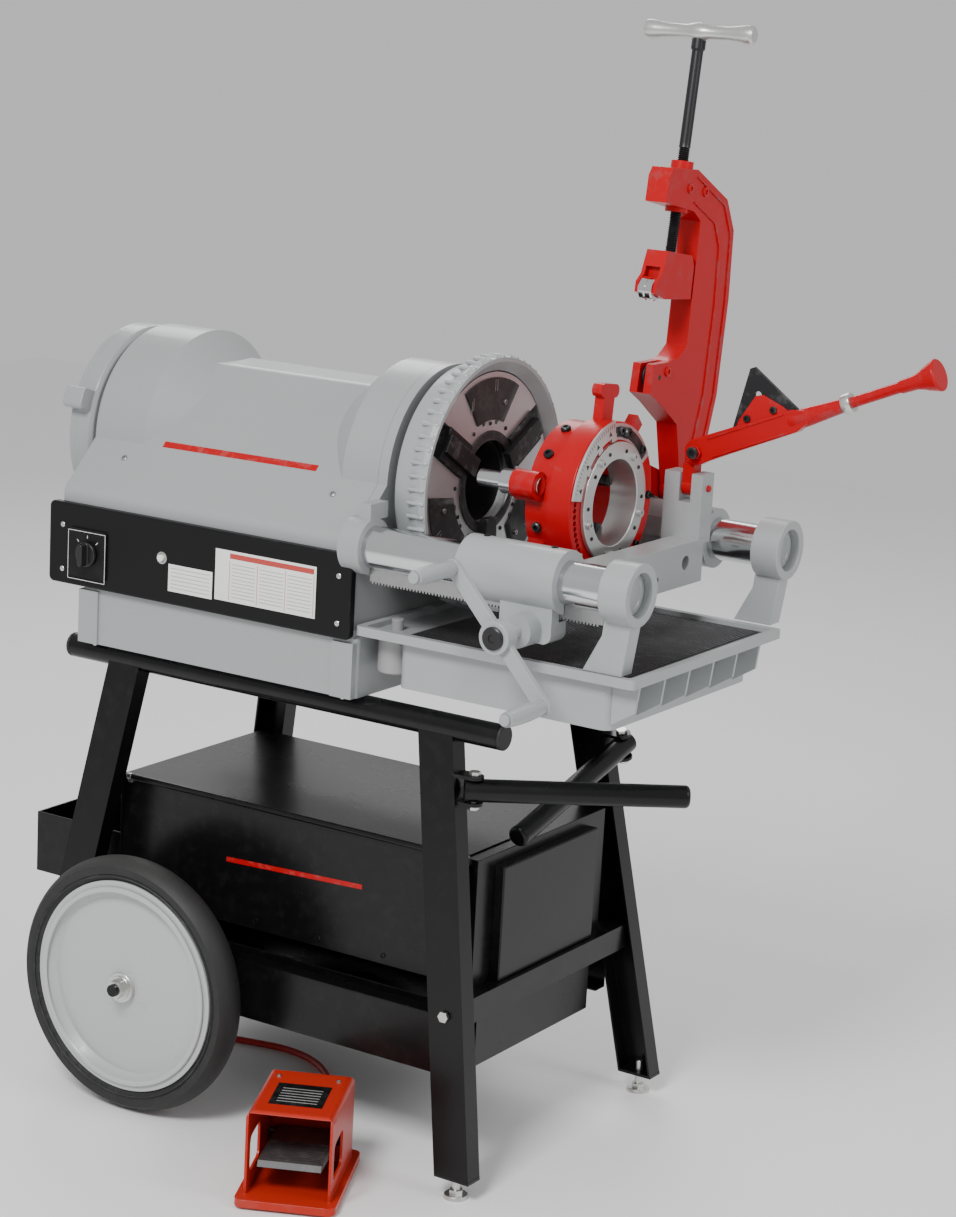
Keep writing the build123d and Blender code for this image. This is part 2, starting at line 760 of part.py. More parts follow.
with BuildPart() as headstock:
    with BuildSketch(Plane.YZ.offset(cover_x1 + 0.4)):
        add(head_outline(0))
        with Locations((0, spindle_z)):
            Circle(dome_r)
    extrude(amount=head_x1 - 6 - cover_x1 - 0.4)
    with BuildSketch(Plane.YZ.offset(cover_x1 + 0.4)):
        with Locations((-rail_y, rail_z), (rail_y, rail_z)):
            Circle(rail_r + 10)
    extrude(amount=head_x1 + rail_boss - cover_x1 - 0.4)
    with BuildSketch(Plane.YZ.offset(head_x1 - 6)):
        with Locations((-rail_y + 10, rail_z + 52)):
            Rectangle(44, 24)
    extrude(amount=rail_boss + 6)
    with BuildSketch(Plane.YZ.offset(cover_x1 - 70)):
        with Locations((-rail_y, rail_z), (rail_y, rail_z)):
            Circle(rail_r + running)
    extrude(amount=150, mode=Mode.SUBTRACT)
    with BuildSketch(Plane.YZ.offset(cover_x1 - 70)):
        with Locations((0, spindle_z)):
            Circle(bearing_r + running)
    extrude(amount=150, mode=Mode.SUBTRACT)
keep("headstock", headstock)

band_face = cover_half + 0.3 + band_thickness
with BuildPart() as control_band:
    with BuildSketch(Plane.XZ.offset(cover_half + 0.3)):
        with Locations(((band_x0 + band_x1) / 2, (base_z1 + band_top_z) / 2)):
            RectangleRounded(band_x1 - band_x0, band_top_z - base_z1, 9)
    extrude(amount=band_thickness)
    fillet(control_band.faces().sort_by(Axis.Y)[0].edges(), 3)
    with BuildSketch(Plane.XY.offset(base_z1 + 10)):
        with Locations(((band_x0 + cover_x0 - 0.4) / 2, -cover_half + 30)):
            Rectangle(cover_x0 - 0.4 - band_x0, 62)
    extrude(amount=band_top_z - base_z1 - 20)
    with BuildSketch(Plane.XZ.offset(band_face)):
        with Locations((switch_plate_x, switch_plate_z)):
            RectangleRounded(74, 76, 5)
    extrude(amount=3)
    with BuildSketch(Plane.XZ.offset(band_face - 3)):
        with Locations((switch_plate_x, switch_plate_z)):
            Circle(knob_stem_r + running)
    extrude(amount=8, mode=Mode.SUBTRACT)
    with BuildSketch(Plane.XZ.offset(band_face - 7)):
        with Locations((reset_x, reset_z)):
            Circle(reset_r + running)
    extrude(amount=9, mode=Mode.SUBTRACT)
    with BuildSketch(Plane.YZ.offset(cover_x1 - 1)):
        with Locations((-rail_y, rail_z)):
            Circle(rail_r + 10 + gap)
    extrude(amount=band_x1 - cover_x1 + 3, mode=Mode.SUBTRACT)
keep("control_band", control_band)

# ---------------------------------------------------------------- controls on the band
with BuildPart() as selector_knob:
    with BuildSketch(Plane.XZ.offset(band_face + 3.4)):
        with Locations((switch_plate_x, switch_plate_z)):
            Circle(19)
    extrude(amount=6)
    with BuildSketch(Plane.XZ.offset(band_face + 9.4)):
        with Locations((switch_plate_x, switch_plate_z)):
            SlotOverall(36, 11, rotation=90)
    extrude(amount=13, taper=4)
    with BuildSketch(Plane.XZ.offset(band_face + 3.4)):
        with Locations((switch_plate_x, switch_plate_z)):
            Circle(knob_stem_r)
    extrude(amount=-6)
keep("selector_knob", selector_knob)

with BuildPart() as reset_button:
    with BuildSketch(Plane.XZ.offset(band_face - 4.8)):
        with Locations((reset_x, reset_z)):
            Circle(reset_r)
    extrude(amount=11)
    fillet(reset_button.faces().sort_by(Axis.Y)[0].edges(), 1.5)
keep("reset_button", reset_button)

# ---------------------------------------------------------------- motor and drive
with BuildPart() as motor:
    motor_x1 = drive_gear_x0 - 18
    with BuildSketch(Plane.YZ.offset(motor_x1 - motor_length)):
        with Locations((motor_y, motor_z)):
            Circle(motor_r)
    extrude(amount=motor_length)
    chamfer(motor.edges().filter_by(GeomType.CIRCLE), 8)
    with BuildSketch(Plane.XY.offset(base_z0 + base_wall)):
        with Locations((motor_x1 - motor_length / 2, motor_y)):
            Rectangle(motor_length * 0.6, 90)
    extrude(amount=motor_z - base_z0 - base_wall - motor_r + 12)
    with BuildSketch(Plane.YZ.offset(motor_x1 + 1)):
        with Locations((motor_y, motor_z)):
            Circle(10 + running)
    extrude(amount=-60, mode=Mode.SUBTRACT)
keep("motor", motor)

with BuildPart() as motor_pinion:
    with BuildSketch(Plane.YZ.offset(motor_x1 - 50)):
        with Locations((motor_y, motor_z)):
            Circle(10)
    extrude(amount=drive_gear_x1 - motor_x1 + 50)
    with BuildSketch(Plane.YZ.offset(drive_gear_x0)):
        with Locations((motor_y, motor_z)):
            Circle(motor_pinion_r)
    extrude(amount=drive_gear_width)
keep("motor_pinion", motor_pinion)

with BuildPart() as spindle_bearings:
    for x0, x1 in ((rear_plate_x, rear_plate_x + rear_plate_thickness), (cover_x1 + 2, head_x1 - 8)):
        with BuildSketch(Plane.YZ.offset(x0)):
            with Locations((0, spindle_z)):
                Circle(bearing_r)
                Circle(spindle_r + running, mode=Mode.SUBTRACT)
        extrude(amount=x1 - x0)
keep("spindle_bearings", spindle_bearings)

with BuildPart() as spindle:
    with BuildSketch(Plane.YZ.offset(rear_ring_x0 - 6)):
        with Locations((0, spindle_z)):
            Circle(spindle_r)
            Circle(spindle_bore_r, mode=Mode.SUBTRACT)
    extrude(amount=spindle_x1 - rear_ring_x0 + 6)
    with BuildSketch(Plane.YZ.offset(drive_gear_x0)):
        with Locations((0, spindle_z)):
            Circle(drive_gear_r)
            Circle(spindle_r - 1, mode=Mode.SUBTRACT)
    extrude(amount=drive_gear_width)
    for face_x, way in ((drive_gear_x1, -1), (drive_gear_x0, 1)):
        with BuildSketch(Plane.YZ.offset(face_x)):
            with Locations((0, spindle_z)):
                Circle(drive_gear_r - 14)
                Circle(spindle_r + 14, mode=Mode.SUBTRACT)
        extrude(amount=way * 6, mode=Mode.SUBTRACT)
keep("spindle", spindle)

# ---------------------------------------------------------------- chuck
jaw_angles = (-90, 30, 150)
with BuildPart() as chuck_plate:
    with BuildSketch(Plane.YZ.offset(plate_x0)):
        with Locations((0, spindle_z)):
            Circle(plate_r)
            Circle(spindle_r + running, mode=Mode.SUBTRACT)
    extrude(amount=plate_x1 - plate_x0)
    for angle in jaw_angles:
        with BuildSketch(Plane.YZ.offset(plate_x1 - jaw_depth)):
            with Locations((0, spindle_z)):
                with PolarLocations((jaw_inner_r + plate_r) / 2 + 6, 1, start_angle=angle):
                    Rectangle(plate_r - jaw_inner_r + 12, jaw_width + 2 * gap)
        extrude(amount=jaw_depth + 1, mode=Mode.SUBTRACT)
    with BuildSketch(Plane.YZ.offset(plate_x1)):
        with Locations((0, spindle_z)):
            with PolarLocations(jaw_inner_r + 26, 3, start_angle=0 - 30 + 11):
                Circle(5)
            with PolarLocations(jaw_inner_r + 26, 3, start_angle=0 - 30 - 11):
                Circle(5)
    extrude(amount=-8, mode=Mode.SUBTRACT)
keep("chuck_plate", chuck_plate)


def make_jaw(angle):
    """A jaw that slides along its slot: dark carrier with a stepped gripping insert."""
    with BuildPart() as jaw:
        with BuildSketch(Plane.YZ.offset(plate_x1 - jaw_depth + gap)):
            with Locations((0, spindle_z)):
                with PolarLocations((spindle_r + 3 + jaw_outer_r) / 2, 1, start_angle=angle):
                    Rectangle(jaw_outer_r - spindle_r - 3, jaw_width)
        extrude(amount=jaw_depth + 6 - gap)
        with BuildSketch(Plane.YZ.offset(plate_x1 + 0.6)):
            with Locations((0, spindle_z)):
                with PolarLocations((spindle_bore_r - 8 + jaw_outer_r) / 2, 1, start_angle=angle):
                    Rectangle(jaw_outer_r - spindle_bore_r + 8, jaw_width * 0.55)
        extrude(amount=12)
    return jaw


lower_jaw = make_jaw(jaw_angles[0])
keep("lower_jaw", lower_jaw)
far_jaw = make_jaw(jaw_angles[1])
keep("far_jaw", far_jaw)
near_jaw = make_jaw(jaw_angles[2])
keep("near_jaw", near_jaw)

spindle_line = Axis((0, 0, spindle_z), (1, 0, 0))
with BuildPart() as chuck_wheel:
    with BuildSketch(Plane.XY.offset(spindle_z)):
        with BuildLine():
            Polyline(
                (wheel_x0, spindle_r + 2), (wheel_x0, wheel_back_r - 5), (wheel_x0 + 5, wheel_back_r),
                (wheel_x1 - 8, wheel_lip_r), (wheel_x1, wheel_lip_r - 4), (wheel_x1, wheel_lip_r - 10),
                (plate_x1, plate_r + 2), (plate_x0 - 2, plate_r + 2), (plate_x0 - 2, spindle_r + 2),
                (wheel_x0, spindle_r + 2),
            )
        make_face()
    revolve(axis=spindle_line)
    with BuildSketch(Plane.YZ.offset(wheel_x1 - 18)):
        with Locations((0, spindle_z)):
            with PolarLocations(wheel_lip_r + 9, scallops):
                Circle(13)
    extrude(amount=20, mode=Mode.SUBTRACT)
keep("chuck_wheel", chuck_wheel)

# ---------------------------------------------------------------- rear centring device
with BuildPart() as rear_ring:
    with BuildSketch(Plane.XY.offset(spindle_z)):
        with BuildLine():
            Polyline(
                (rear_ring_x1, spindle_r + 2), (rear_ring_x1, rear_ring_r - 6),
                (rear_ring_x1 - 6, rear_ring_r), (rear_ring_x0 + 8, rear_ring_r),
                (rear_ring_x0, rear_ring_r - 8), (rear_ring_x0, rear_ring_r - 26),
                (rear_ring_x1 - 14, rear_ring_r - 34), (rear_ring_x1 - 14, spindle_r + 2),
                (rear_ring_x1, spindle_r + 2),
            )
        make_face()
    revolve(axis=spindle_line)
    for turn in (160, 280, 40):
        with BuildSketch(Plane.YZ.offset(rear_ring_x0)):
            with Locations((0, spindle_z)):
                with PolarLocations(rear_ring_r + 4, 1, start_angle=turn):
                    RectangleRounded(44, 34, 8)
        extrude(amount=rear_ring_x1 - 6 - rear_ring_x0)
keep("rear_ring", rear_ring)

# ---------------------------------------------------------------- rails, end brackets and rack
with BuildPart() as guide_rails:
    with BuildSketch(Plane.YZ.offset(cover_x1 + 2)):
        with Locations((-rail_y, rail_z), (rail_y, rail_z)):
            Circle(rail_r)
    extrude(amount=rail_x1 - cover_x1 - 2)
    chamfer(guide_rails.edges().filter_by(GeomType.CIRCLE).group_by(Axis.X)[-1], 2)
keep("guide_rails", guide_rails)

with BuildPart() as rail_end_brackets:
    for side in (-1, 1):
        with BuildSketch(Plane.YZ.offset(bracket_x0)):
            with Locations((side * rail_y, rail_z)):
                Circle(bracket_ring_r)
        extrude(amount=bracket_x1 - bracket_x0)
        with BuildSketch(Plane.XZ.offset(-side * rail_y - 15)):
            Polygon(
                (bracket_x0, rail_z), (bracket_x1, rail_z), (bracket_x1 - 16, pan_rim_z + 0.2),
                (bracket_x0 - 34, pan_rim_z + 0.2), (bracket_x0 - 6, rail_z - 62), align=None,
            )
        extrude(amount=30)
        with BuildSketch(Plane.XZ.offset(-side * rail_y - 16)):
            Polygon(
                (bracket_x0 + 10, rail_z - 50), (bracket_x1 - 12, rail_z - 50),
                (bracket_x1 - 24, pan_rim_z + 14), (bracket_x0 - 4, pan_rim_z + 14), align=None,
            )
        extrude(amount=10, mode=Mode.SUBTRACT)
    with BuildSketch(Plane.YZ.offset(bracket_x0 - 40)):
        with Locations((-rail_y, rail_z), (rail_y, rail_z)):
            Circle(rail_r + running)
    extrude(amount=bracket_x1 - bracket_x0 + 41, mode=Mode.SUBTRACT)
keep("rail_end_brackets", rail_end_brackets)

with BuildPart() as feed_rack:
    rack_x0 = head_x1 + rail_boss + 1
    rack_x1 = bracket_x0 - 8
    with BuildSketch(Plane.XY.offset(rack_z0)):
        with Locations(((rack_x0 + rack_x1) / 2, -rail_y)):
            Rectangle(rack_x1 - rack_x0, rack_width)
    extrude(amount=rack_height + 6)
    with BuildSketch(Plane.YZ.offset(head_x1)):
        with Locations((-rail_y, rail_z)):
            Circle(rail_r)
    extrude(amount=bracket_x1 - head_x1, mode=Mode.SUBTRACT)
keep("feed_rack", feed_rack)

# ---------------------------------------------------------------- oil pan, screen and pump
pan_x0 = head_x1 + 0.5
pan_mid_y = (pan_far - pan_near) / 2
with BuildPart() as oil_pan:
    with BuildSketch(Plane.XY.offset(pan_rim_z - 14)):
        with Locations(((pan_x0 + pan_x1) / 2, pan_mid_y)):
            RectangleRounded(pan_x1 - pan_x0, pan_near + pan_far, 8)
    extrude(amount=14)
    body_x0 = 30.0
    body_x1 = pan_x1 - 44.0
    with BuildSketch(Plane.XY.offset(pan_floor_z)):
        with Locations(((body_x0 + body_x1) / 2, pan_mid_y)):
            RectangleRounded(body_x1 - body_x0, pan_near + pan_far - 2 * pan_inset, 16)
    extrude(amount=pan_depth - 10)
    with BuildSketch(Plane.XY.offset(pan_floor_z + pan_wall)):
        with Locations(((body_x0 + body_x1) / 2, pan_mid_y)):
            RectangleRounded(
                body_x1 - body_x0 - 2 * pan_wall,
                pan_near + pan_far - 2 * pan_inset - 2 * pan_wall, 12)
    extrude(amount=pan_depth, mode=Mode.SUBTRACT)
    with BuildSketch(Plane.XY.offset(pan_rim_z - 9)):
        with Locations(((pan_x0 + pan_x1) / 2, pan_mid_y)):
            RectangleRounded(pan_x1 - pan_x0 - 24, pan_near + pan_far - 24, 6)
    extrude(amount=20, mode=Mode.SUBTRACT)
    for place in (0.06, 0.22, 0.38, 0.54, 0.70, 0.86):
        y = -pan_near + place * (pan_near + pan_far)
        with BuildSketch(Plane.XZ.offset(-y - 2.5)):
            Polygon(
                (body_x1 - 2, pan_rim_z - 12), (pan_x1 - 3, pan_rim_z - 12),
                (pan_x1 - 8, pan_rim_z - 52), (body_x1 - 2, pan_floor_z + 8), align=None,
            )
        extrude(amount=5)
    with BuildSketch(Plane.XY.offset(pan_rim_z - 20)):
        with Locations((head_x1 + 38, -pan_near + 56)):
            Circle(9)
    extrude(amount=30, mode=Mode.SUBTRACT)
keep("oil_pan", oil_pan)

with BuildPart() as chip_screen:
    with BuildSketch(Plane.XY.offset(pan_rim_z - 9)):
        with Locations(((pan_x0 + pan_x1) / 2 + 30, pan_mid_y)):
            RectangleRounded(pan_x1 - pan_x0 - 26 - 60, pan_near + pan_far - 26, 7)
    extrude(amount=2)
    with BuildSketch(Plane.XY.offset(pan_rim_z - 9)):
        with Locations(((pan_x0 + pan_x1) / 2 + 30, pan_mid_y)):
            with GridLocations(40, 40, 8, 10):
                Rectangle(14, 14)
    extrude(amount=2, mode=Mode.SUBTRACT)
keep("chip_screen", chip_screen)

with BuildPart() as oil_pump:
    with BuildSketch(Plane.XY.offset(pan_rim_z - 14.2)):
        with Locations((head_x1 + 38, -pan_near + 56)):
            Circle(27)
    extrude(amount=-58)
    fillet(oil_pump.edges().group_by(Axis.Z)[0], 4)
    with BuildSketch(Plane.XY.offset(pan_rim_z - 14.2)):
        with Locations((head_x1 + 38, -pan_near + 56)):
            Circle(8.9)
    extrude(amount=22)
keep("oil_pump", oil_pump)

# ---------------------------------------------------------------- carriage
boss_x1 = slide_x1 - 8
with BuildPart() as carriage:
    for side, end in ((-1, slide_x1), (1, boss_x1)):
        with BuildSketch(Plane.YZ.offset(slide_x0)):
            with Locations((side * rail_y, rail_z)):
                Circle(boss_r)
        extrude(amount=end - slide_x0)
    with BuildSketch(Plane.YZ.offset(slide_x1 - bridge_width)):
        with Locations((-22, (bridge_z0 + bridge_z1) / 2)):
            Rectangle(380, bridge_z1 - bridge_z0)
    extrude(amount=bridge_width)
    with BuildSketch(Plane.YZ.offset(slide_x0 + 5)):
        with Locations((0, 883.5)):
            Rectangle(2 * rail_y - 50, 29)
    extrude(amount=30)
    with BuildSketch(Plane.XZ.offset(215)):
        with Locations((258, 892)):
            RectangleRounded(86, 86, 14)
    extrude(amount=40)
    with BuildSketch(Plane.XZ.offset(215)):
        with Locations((hub_x, hub_z)):
            Circle(24)
    extrude(amount=70)
    with BuildSketch(Plane.YZ.offset(slide_x0 + 60)):
        with Locations((-rail_y + 32, bridge_z1 + 9)):
            Rectangle(52, 26)
        with Locations((rail_y - 34, bridge_z1 + 7)):
            Rectangle(44, 30)
    extrude(amount=88)
    with BuildSketch(Plane.YZ.offset(ear_x0)):
        with Locations(((ear_y0 + ear_y1) / 2, (rail_z + ear_z) / 2)):
            Rectangle(ear_y1 - ear_y0, ear_z - rail_z)
    extrude(amount=ear_x1 - ear_x0)
    for x0 in (slide_x0, 224.5):
        with BuildSketch(Plane.YZ.offset(x0)):
            with Locations((hinge_y, hinge_z)):
                Circle(lug_r)
            Polygon(
                (hinge_y - lug_r, hinge_z), (hinge_y + lug_r, hinge_z),
                (rail_y + 38, rail_z + 14), (rail_y - 34, rail_z + 22), align=None,
            )
        extrude(amount=15.2)
    with BuildSketch(Plane.YZ.offset(slide_x0 - 1)):
        with Locations((-rail_y, rail_z), (rail_y, rail_z)):
            Circle(rail_r + running)
        with Locations((-rail_y, rack_z0 + rack_height / 2)):
            Rectangle(rack_width + 2, rack_height + 14)
        with Locations((hinge_y, hinge_z)):
            Circle(hinge_r + running)
    extrude(amount=slide_x1 - slide_x0 + 2, mode=Mode.SUBTRACT)
    with BuildSketch(Plane.XZ.offset(rail_y - 14)):
        with Locations((hub_x, hub_z)):
            Circle(shaft_r + running)
    extrude(amount=90, mode=Mode.SUBTRACT)
    with BuildSketch(Plane.XZ.offset(rail_y - 14)):
        with Locations((hub_x, hub_z)):
            Circle(pinion_r + 1)
    extrude(amount=29, mode=Mode.SUBTRACT)
    for y, z, r in ((115, 915, 11), (30, 900, 5)):
        with BuildSketch(Plane.YZ.offset(slide_x0)):
            with Locations((y, z)):
                Circle(r)
        extrude(amount=slide_x1 - slide_x0 + 1, mode=Mode.SUBTRACT)
    with BuildSketch(Plane.XZ.offset(-ear_y0 + 1)):
        with Locations((tongue_x, ear_z - 18)):
            Rectangle(tongue_width + 2 * gap, 52)
    extrude(amount=-(ear_y1 - ear_y0) - 2, mode=Mode.SUBTRACT)
    with BuildSketch(Plane.YZ.offset(ear_x0 - 1)):
        with Locations((knuckle_pin_y, knuckle_pin_z)):
            Circle(knuckle_pin_r + running)
    extrude(amount=ear_x1 - ear_x0 + 2, mode=Mode.SUBTRACT)
keep("carriage", carriage)

# ---------------------------------------------------------------- feed handwheel
with BuildPart() as feed_handwheel:
    with BuildSketch(Plane.XZ.offset(rail_y - 12)):
        with Locations((hub_x, hub_z)):
            Circle(pinion_r)
    extrude(amount=26)
    with BuildSketch(Plane.XZ.offset(rail_y - 12)):
        with Locations((hub_x, hub_z)):
            Circle(shaft_r)
    extrude(amount=crank_y - rail_y + 12)
    with BuildSketch(Plane.XZ.offset(crank_y - 12)):
        with Locations((hub_x, hub_z)):
            Circle(24)
    extrude(amount=24)
    with BuildSketch(Plane.XZ.offset(crank_y - 6)):
        with Locations((hub_x, hub_z)):
            SlotOverall(2 * crank_r + 26, 22, rotation=crank_angle)
    extrude(amount=10)
    tip_dx = crank_r * cos(radians(crank_angle))
    tip_dz = crank_r * sin(radians(crank_angle))
    for way in (-1, 1):
        with BuildSketch(Plane.XZ.offset(crank_y + 3)):
            with Locations((hub_x + way * tip_dx, hub_z + way * tip_dz)):
                Circle(5)
        extrude(amount=grip_length + 6)
        with BuildSketch(Plane.XZ.offset(crank_y + 4 + grip_length + 1.5)):
            with Locations((hub_x + way * tip_dx, hub_z + way * tip_dz)):
                Circle(8)
        extrude(amount=3.5)
keep("feed_handwheel", feed_handwheel)


def make_grip(way):
    """A waisted grip that spins on its crank pin."""
    x = hub_x + way * tip_dx
    z = hub_z + way * tip_dz
    y0 = -crank_y - 4 - gap
    with BuildPart() as grip:
        with BuildSketch(Plane.YZ.offset(x)):
            with BuildLine():
                Spline((y0, z + 10), (y0 - grip_length * 0.45, z + grip_r), (y0 - grip_length + 1, z + 10.5))
                Line((y0 - grip_length + 1, z + 10.5), (y0 - grip_length + 1, z + 5 + running))
                Line((y0 - grip_length + 1, z + 5 + running), (y0, z + 5 + running))
                Line((y0, z + 5 + running), (y0, z + 10))
            make_face()
        revolve(axis=Axis((x, 0, z), (0, 1, 0)))
    return grip


lower_grip = make_grip(1)
keep("lower_grip", lower_grip)
upper_grip = make_grip(-1)
keep("upper_grip", upper_grip)

# ---------------------------------------------------------------- tool hinge pin
with BuildPart() as tool_hinge_pin:
    with BuildSketch(Plane.YZ.offset(slide_x0 - 12)):
        with Locations((hinge_y, hinge_z)):
            Circle(hinge_r)
    extrude(amount=122)
    with BuildSketch(Plane.YZ.offset(slide_x0 - 12)):
        with Locations((hinge_y, hinge_z)):
            Circle(15)
    extrude(amount=11.5)
keep("tool_hinge_pin", tool_hinge_pin)

# ---------------------------------------------------------------- die head
die_angles = [90 + 360 / dies * n for n in range(dies)]
with BuildPart() as die_head_body:
    with BuildSketch(Plane.YZ.offset(die_x0)):
        with Locations((0, spindle_z)):
            Circle(die_body_r)
    extrude(amount=die_x1 - die_x0)
    with BuildSketch(Plane.YZ.offset(die_x0)):
        with Locations((hinge_y, hinge_z)):
            Circle(lug_r - 1)
        Polygon(
            (hinge_y, hinge_z + lug_r - 1), (90, spindle_z + 66), (60, spindle_z + 30),
            (60, spindle_z - 40), (96, spindle_z - 52), (150, spindle_z + 8),
            (hinge_y, hinge_z - lug_r + 1), align=None,
        )
    extrude(amount=cutter_x0 - 1.2 - die_x0)
    with BuildSketch(Plane.YZ.offset(die_x0 - 12)):
        with Locations((-121, 1043)):
            Circle(21)
        with Locations((-104, 1038)):
            Rectangle(40, 36)
    extrude(amount=40)
    with BuildSketch(Plane.YZ.offset(die_x0)):
        with Locations((-80, 952)):
            Rectangle(36, 40)
    extrude(amount=26)
    with BuildSketch(Plane.YZ.offset(die_x0 - 1)):
        with Locations((0, spindle_z)):
            Circle(throat_bore_r)
    extrude(amount=die_x1 - die_x0 + 2, mode=Mode.SUBTRACT)
    with BuildSketch(Plane.YZ.offset(die_x0 - 1)):
        with Locations((hinge_y, hinge_z)):
            Circle(hinge_r + running)
    extrude(amount=die_x1 - die_x0, mode=Mode.SUBTRACT)
    with BuildSketch(Plane.YZ.offset(die_x1 - 24)):
        with Locations((0, spindle_z)):
            with PolarLocations((throat_bore_r + die_outer_r) / 2, dies, start_angle=90):
                Rectangle(die_outer_r - throat_bore_r + 12, die_width + 2 * running)
    extrude(amount=26, mode=Mode.SUBTRACT)
    with BuildSketch(Plane.YZ.offset(die_x0 - 13)):
        with Locations((-121, 1043)):
            Circle(12.5 + running)
    extrude(amount=44, mode=Mode.SUBTRACT)
keep("die_head_body", die_head_body)

with BuildPart() as latch_pin:
    with BuildSketch(Plane.YZ.offset(87)):
        with Locations((-121, 1043)):
            Circle(12.5)
    extrude(amount=104)
    chamfer(latch_pin.edges().group_by(Axis.X)[0], 2)
    with BuildSketch(Plane.YZ.offset(die_x0 - 32)):
        with Locations((-121, 1043)):
            Circle(18)
    extrude(amount=19.6)
keep("latch_pin", latch_pin)


def make_die(angle):
    """One chaser in its radial slot, chamfered towards the bore."""
    with BuildPart() as die:
        with BuildSketch(Plane.YZ.offset(die_x1 - 24 + running)):
            with Locations((0, spindle_z)):
                with PolarLocations((die_inner_r + die_outer_r) / 2, 1, start_angle=angle):
                    Rectangle(die_outer_r - die_inner_r, die_width)
                with PolarLocations(die_inner_r, 1, start_angle=angle):
                    Rectangle(10, 10, rotation=45)
        extrude(amount=24 - 2 * running)
    return die


keep_group("dies", *[make_die(angle) for angle in die_angles])

with BuildPart() as cam_ring:
    with BuildSketch(Plane.YZ.offset(die_x1 + gap)):
        with Locations((0, spindle_z)):
            Circle(cam_r)
    extrude(amount=cam_x1 - die_x1 - gap)
    fillet(cam_ring.edges().group_by(Axis.X)[-1], 3)
    with BuildSketch(Plane.YZ.offset(die_x1 + gap)):
        with Locations((0, spindle_z)):
            with PolarLocations(cam_r + 16, 1, start_angle=84):
                Rectangle(52, 30)
            with PolarLocations(cam_r + 42, 1, start_angle=84):
                SlotOverall(54, 20, rotation=90)
            with PolarLocations(cam_r + 14, 1, start_angle=44):
                Rectangle(44, 22)
    extrude(amount=16)
    with BuildSketch(Plane.YZ.offset(die_x1)):
        with Locations((0, spindle_z)):
            Circle(cam_bore_r)
    extrude(amount=cam_x1 - die_x1 + 1, mode=Mode.SUBTRACT)
    with BuildSketch(Plane.YZ.offset(cam_x1 - 5)):
        with Locations((0, spindle_z)):
            with PolarLocations((cam_r + cam_bore_r) / 2 + 4, 24, start_angle=110, angular_range=120):
                Circle(4)
    extrude(amount=8, mode=Mode.SUBTRACT)
keep("cam_ring", cam_ring)

with BuildPart() as throat_ring:
    with BuildSketch(Plane.YZ.offset(die_x1)):
        with Locations((0, spindle_z)):
            Circle(cam_bore_r - running)
            Circle(throat_bore_r, mode=Mode.SUBTRACT)
    extrude(amount=cam_x1 + gap - die_x1)
    with BuildSketch(Plane.YZ.offset(cam_x1 + gap)):
        with Locations((0, spindle_z)):
            Circle(cam_bore_r + 6)
            Circle(throat_bore_r, mode=Mode.SUBTRACT)
    extrude(amount=throat_x1 - cam_x1 - gap)
    fillet(throat_ring.edges().group_by(Axis.X)[-1], 1.5)

with BuildPart() as throat_bolts:
    with BuildSketch(Plane.YZ.offset(throat_x1)):
        with Locations((0, spindle_z)):
            with PolarLocations(throat_r - 4, 5, start_angle=54):
                Circle(6)
    extrude(amount=5)
    with BuildSketch(Plane.YZ.offset(throat_x1 + 2)):
        with Locations((0, spindle_z)):
            with PolarLocations(throat_r - 4, 5, start_angle=54):
                RegularPolygon(3.2, 6)
    extrude(amount=5, mode=Mode.SUBTRACT)
keep_group("throat_ring", throat_ring, throat_bolts)

with BuildPart() as size_plate:
    with BuildSketch(Plane.YZ.offset(cam_x1 + 3)):
        with BuildLine():
            CenterArc((0, spindle_z), cam_r + 4, 96, 76)
            CenterArc((0, spindle_z), cam_r - 20, 96, 76)
            Line((0, spindle_z) + Vector(cos(radians(96)), sin(radians(96))) * (cam_r - 20),
                 (0, spindle_z) + Vector(cos(radians(96)), sin(radians(96))) * (cam_r + 4))
            Line((0, spindle_z) + Vector(cos(radians(172)), sin(radians(172))) * (cam_r - 20),
                 (0, spindle_z) + Vector(cos(radians(172)), sin(radians(172))) * (cam_r + 4))
        make_face()
    extrude(amount=3)
    with BuildSketch(Plane.YZ.offset(cam_x1)):
        with Locations((0, spindle_z)):
            with PolarLocations(cam_r - 26, 3, start_angle=98, angular_range=72):
                Rectangle(22, 12)
    extrude(amount=6)
    with BuildSketch(Plane.YZ.offset(die_x1 + 1)):
        with Locations((0, spindle_z)):
            Circle(cam_bore_r + 9)
    extrude(amount=60, mode=Mode.SUBTRACT)
keep("size_plate", size_plate)


# ---------------------------------------------------------------- pipe cutter
lean = radians(cutter_lean)
cutter_mid = (cutter_x0 + cutter_x1) / 2


def cutter_plane(x):
    """Plane at height x along the hinge: local Y runs up the cutter's screw line."""
    return Plane(origin=(x, hinge_y, hinge_z), x_dir=(0, cos(lean), -sin(lean)), z_dir=(1, 0, 0))


def screw_plane(along):
    """Plane square to the screw line, at a distance along it from the hinge."""
    base = cutter_plane(cutter_mid)
    origin = base.origin + base.x_dir * -cutter_line + base.y_dir * along
    return Plane(origin=origin, x_dir=(1, 0, 0), z_dir=base.y_dir)


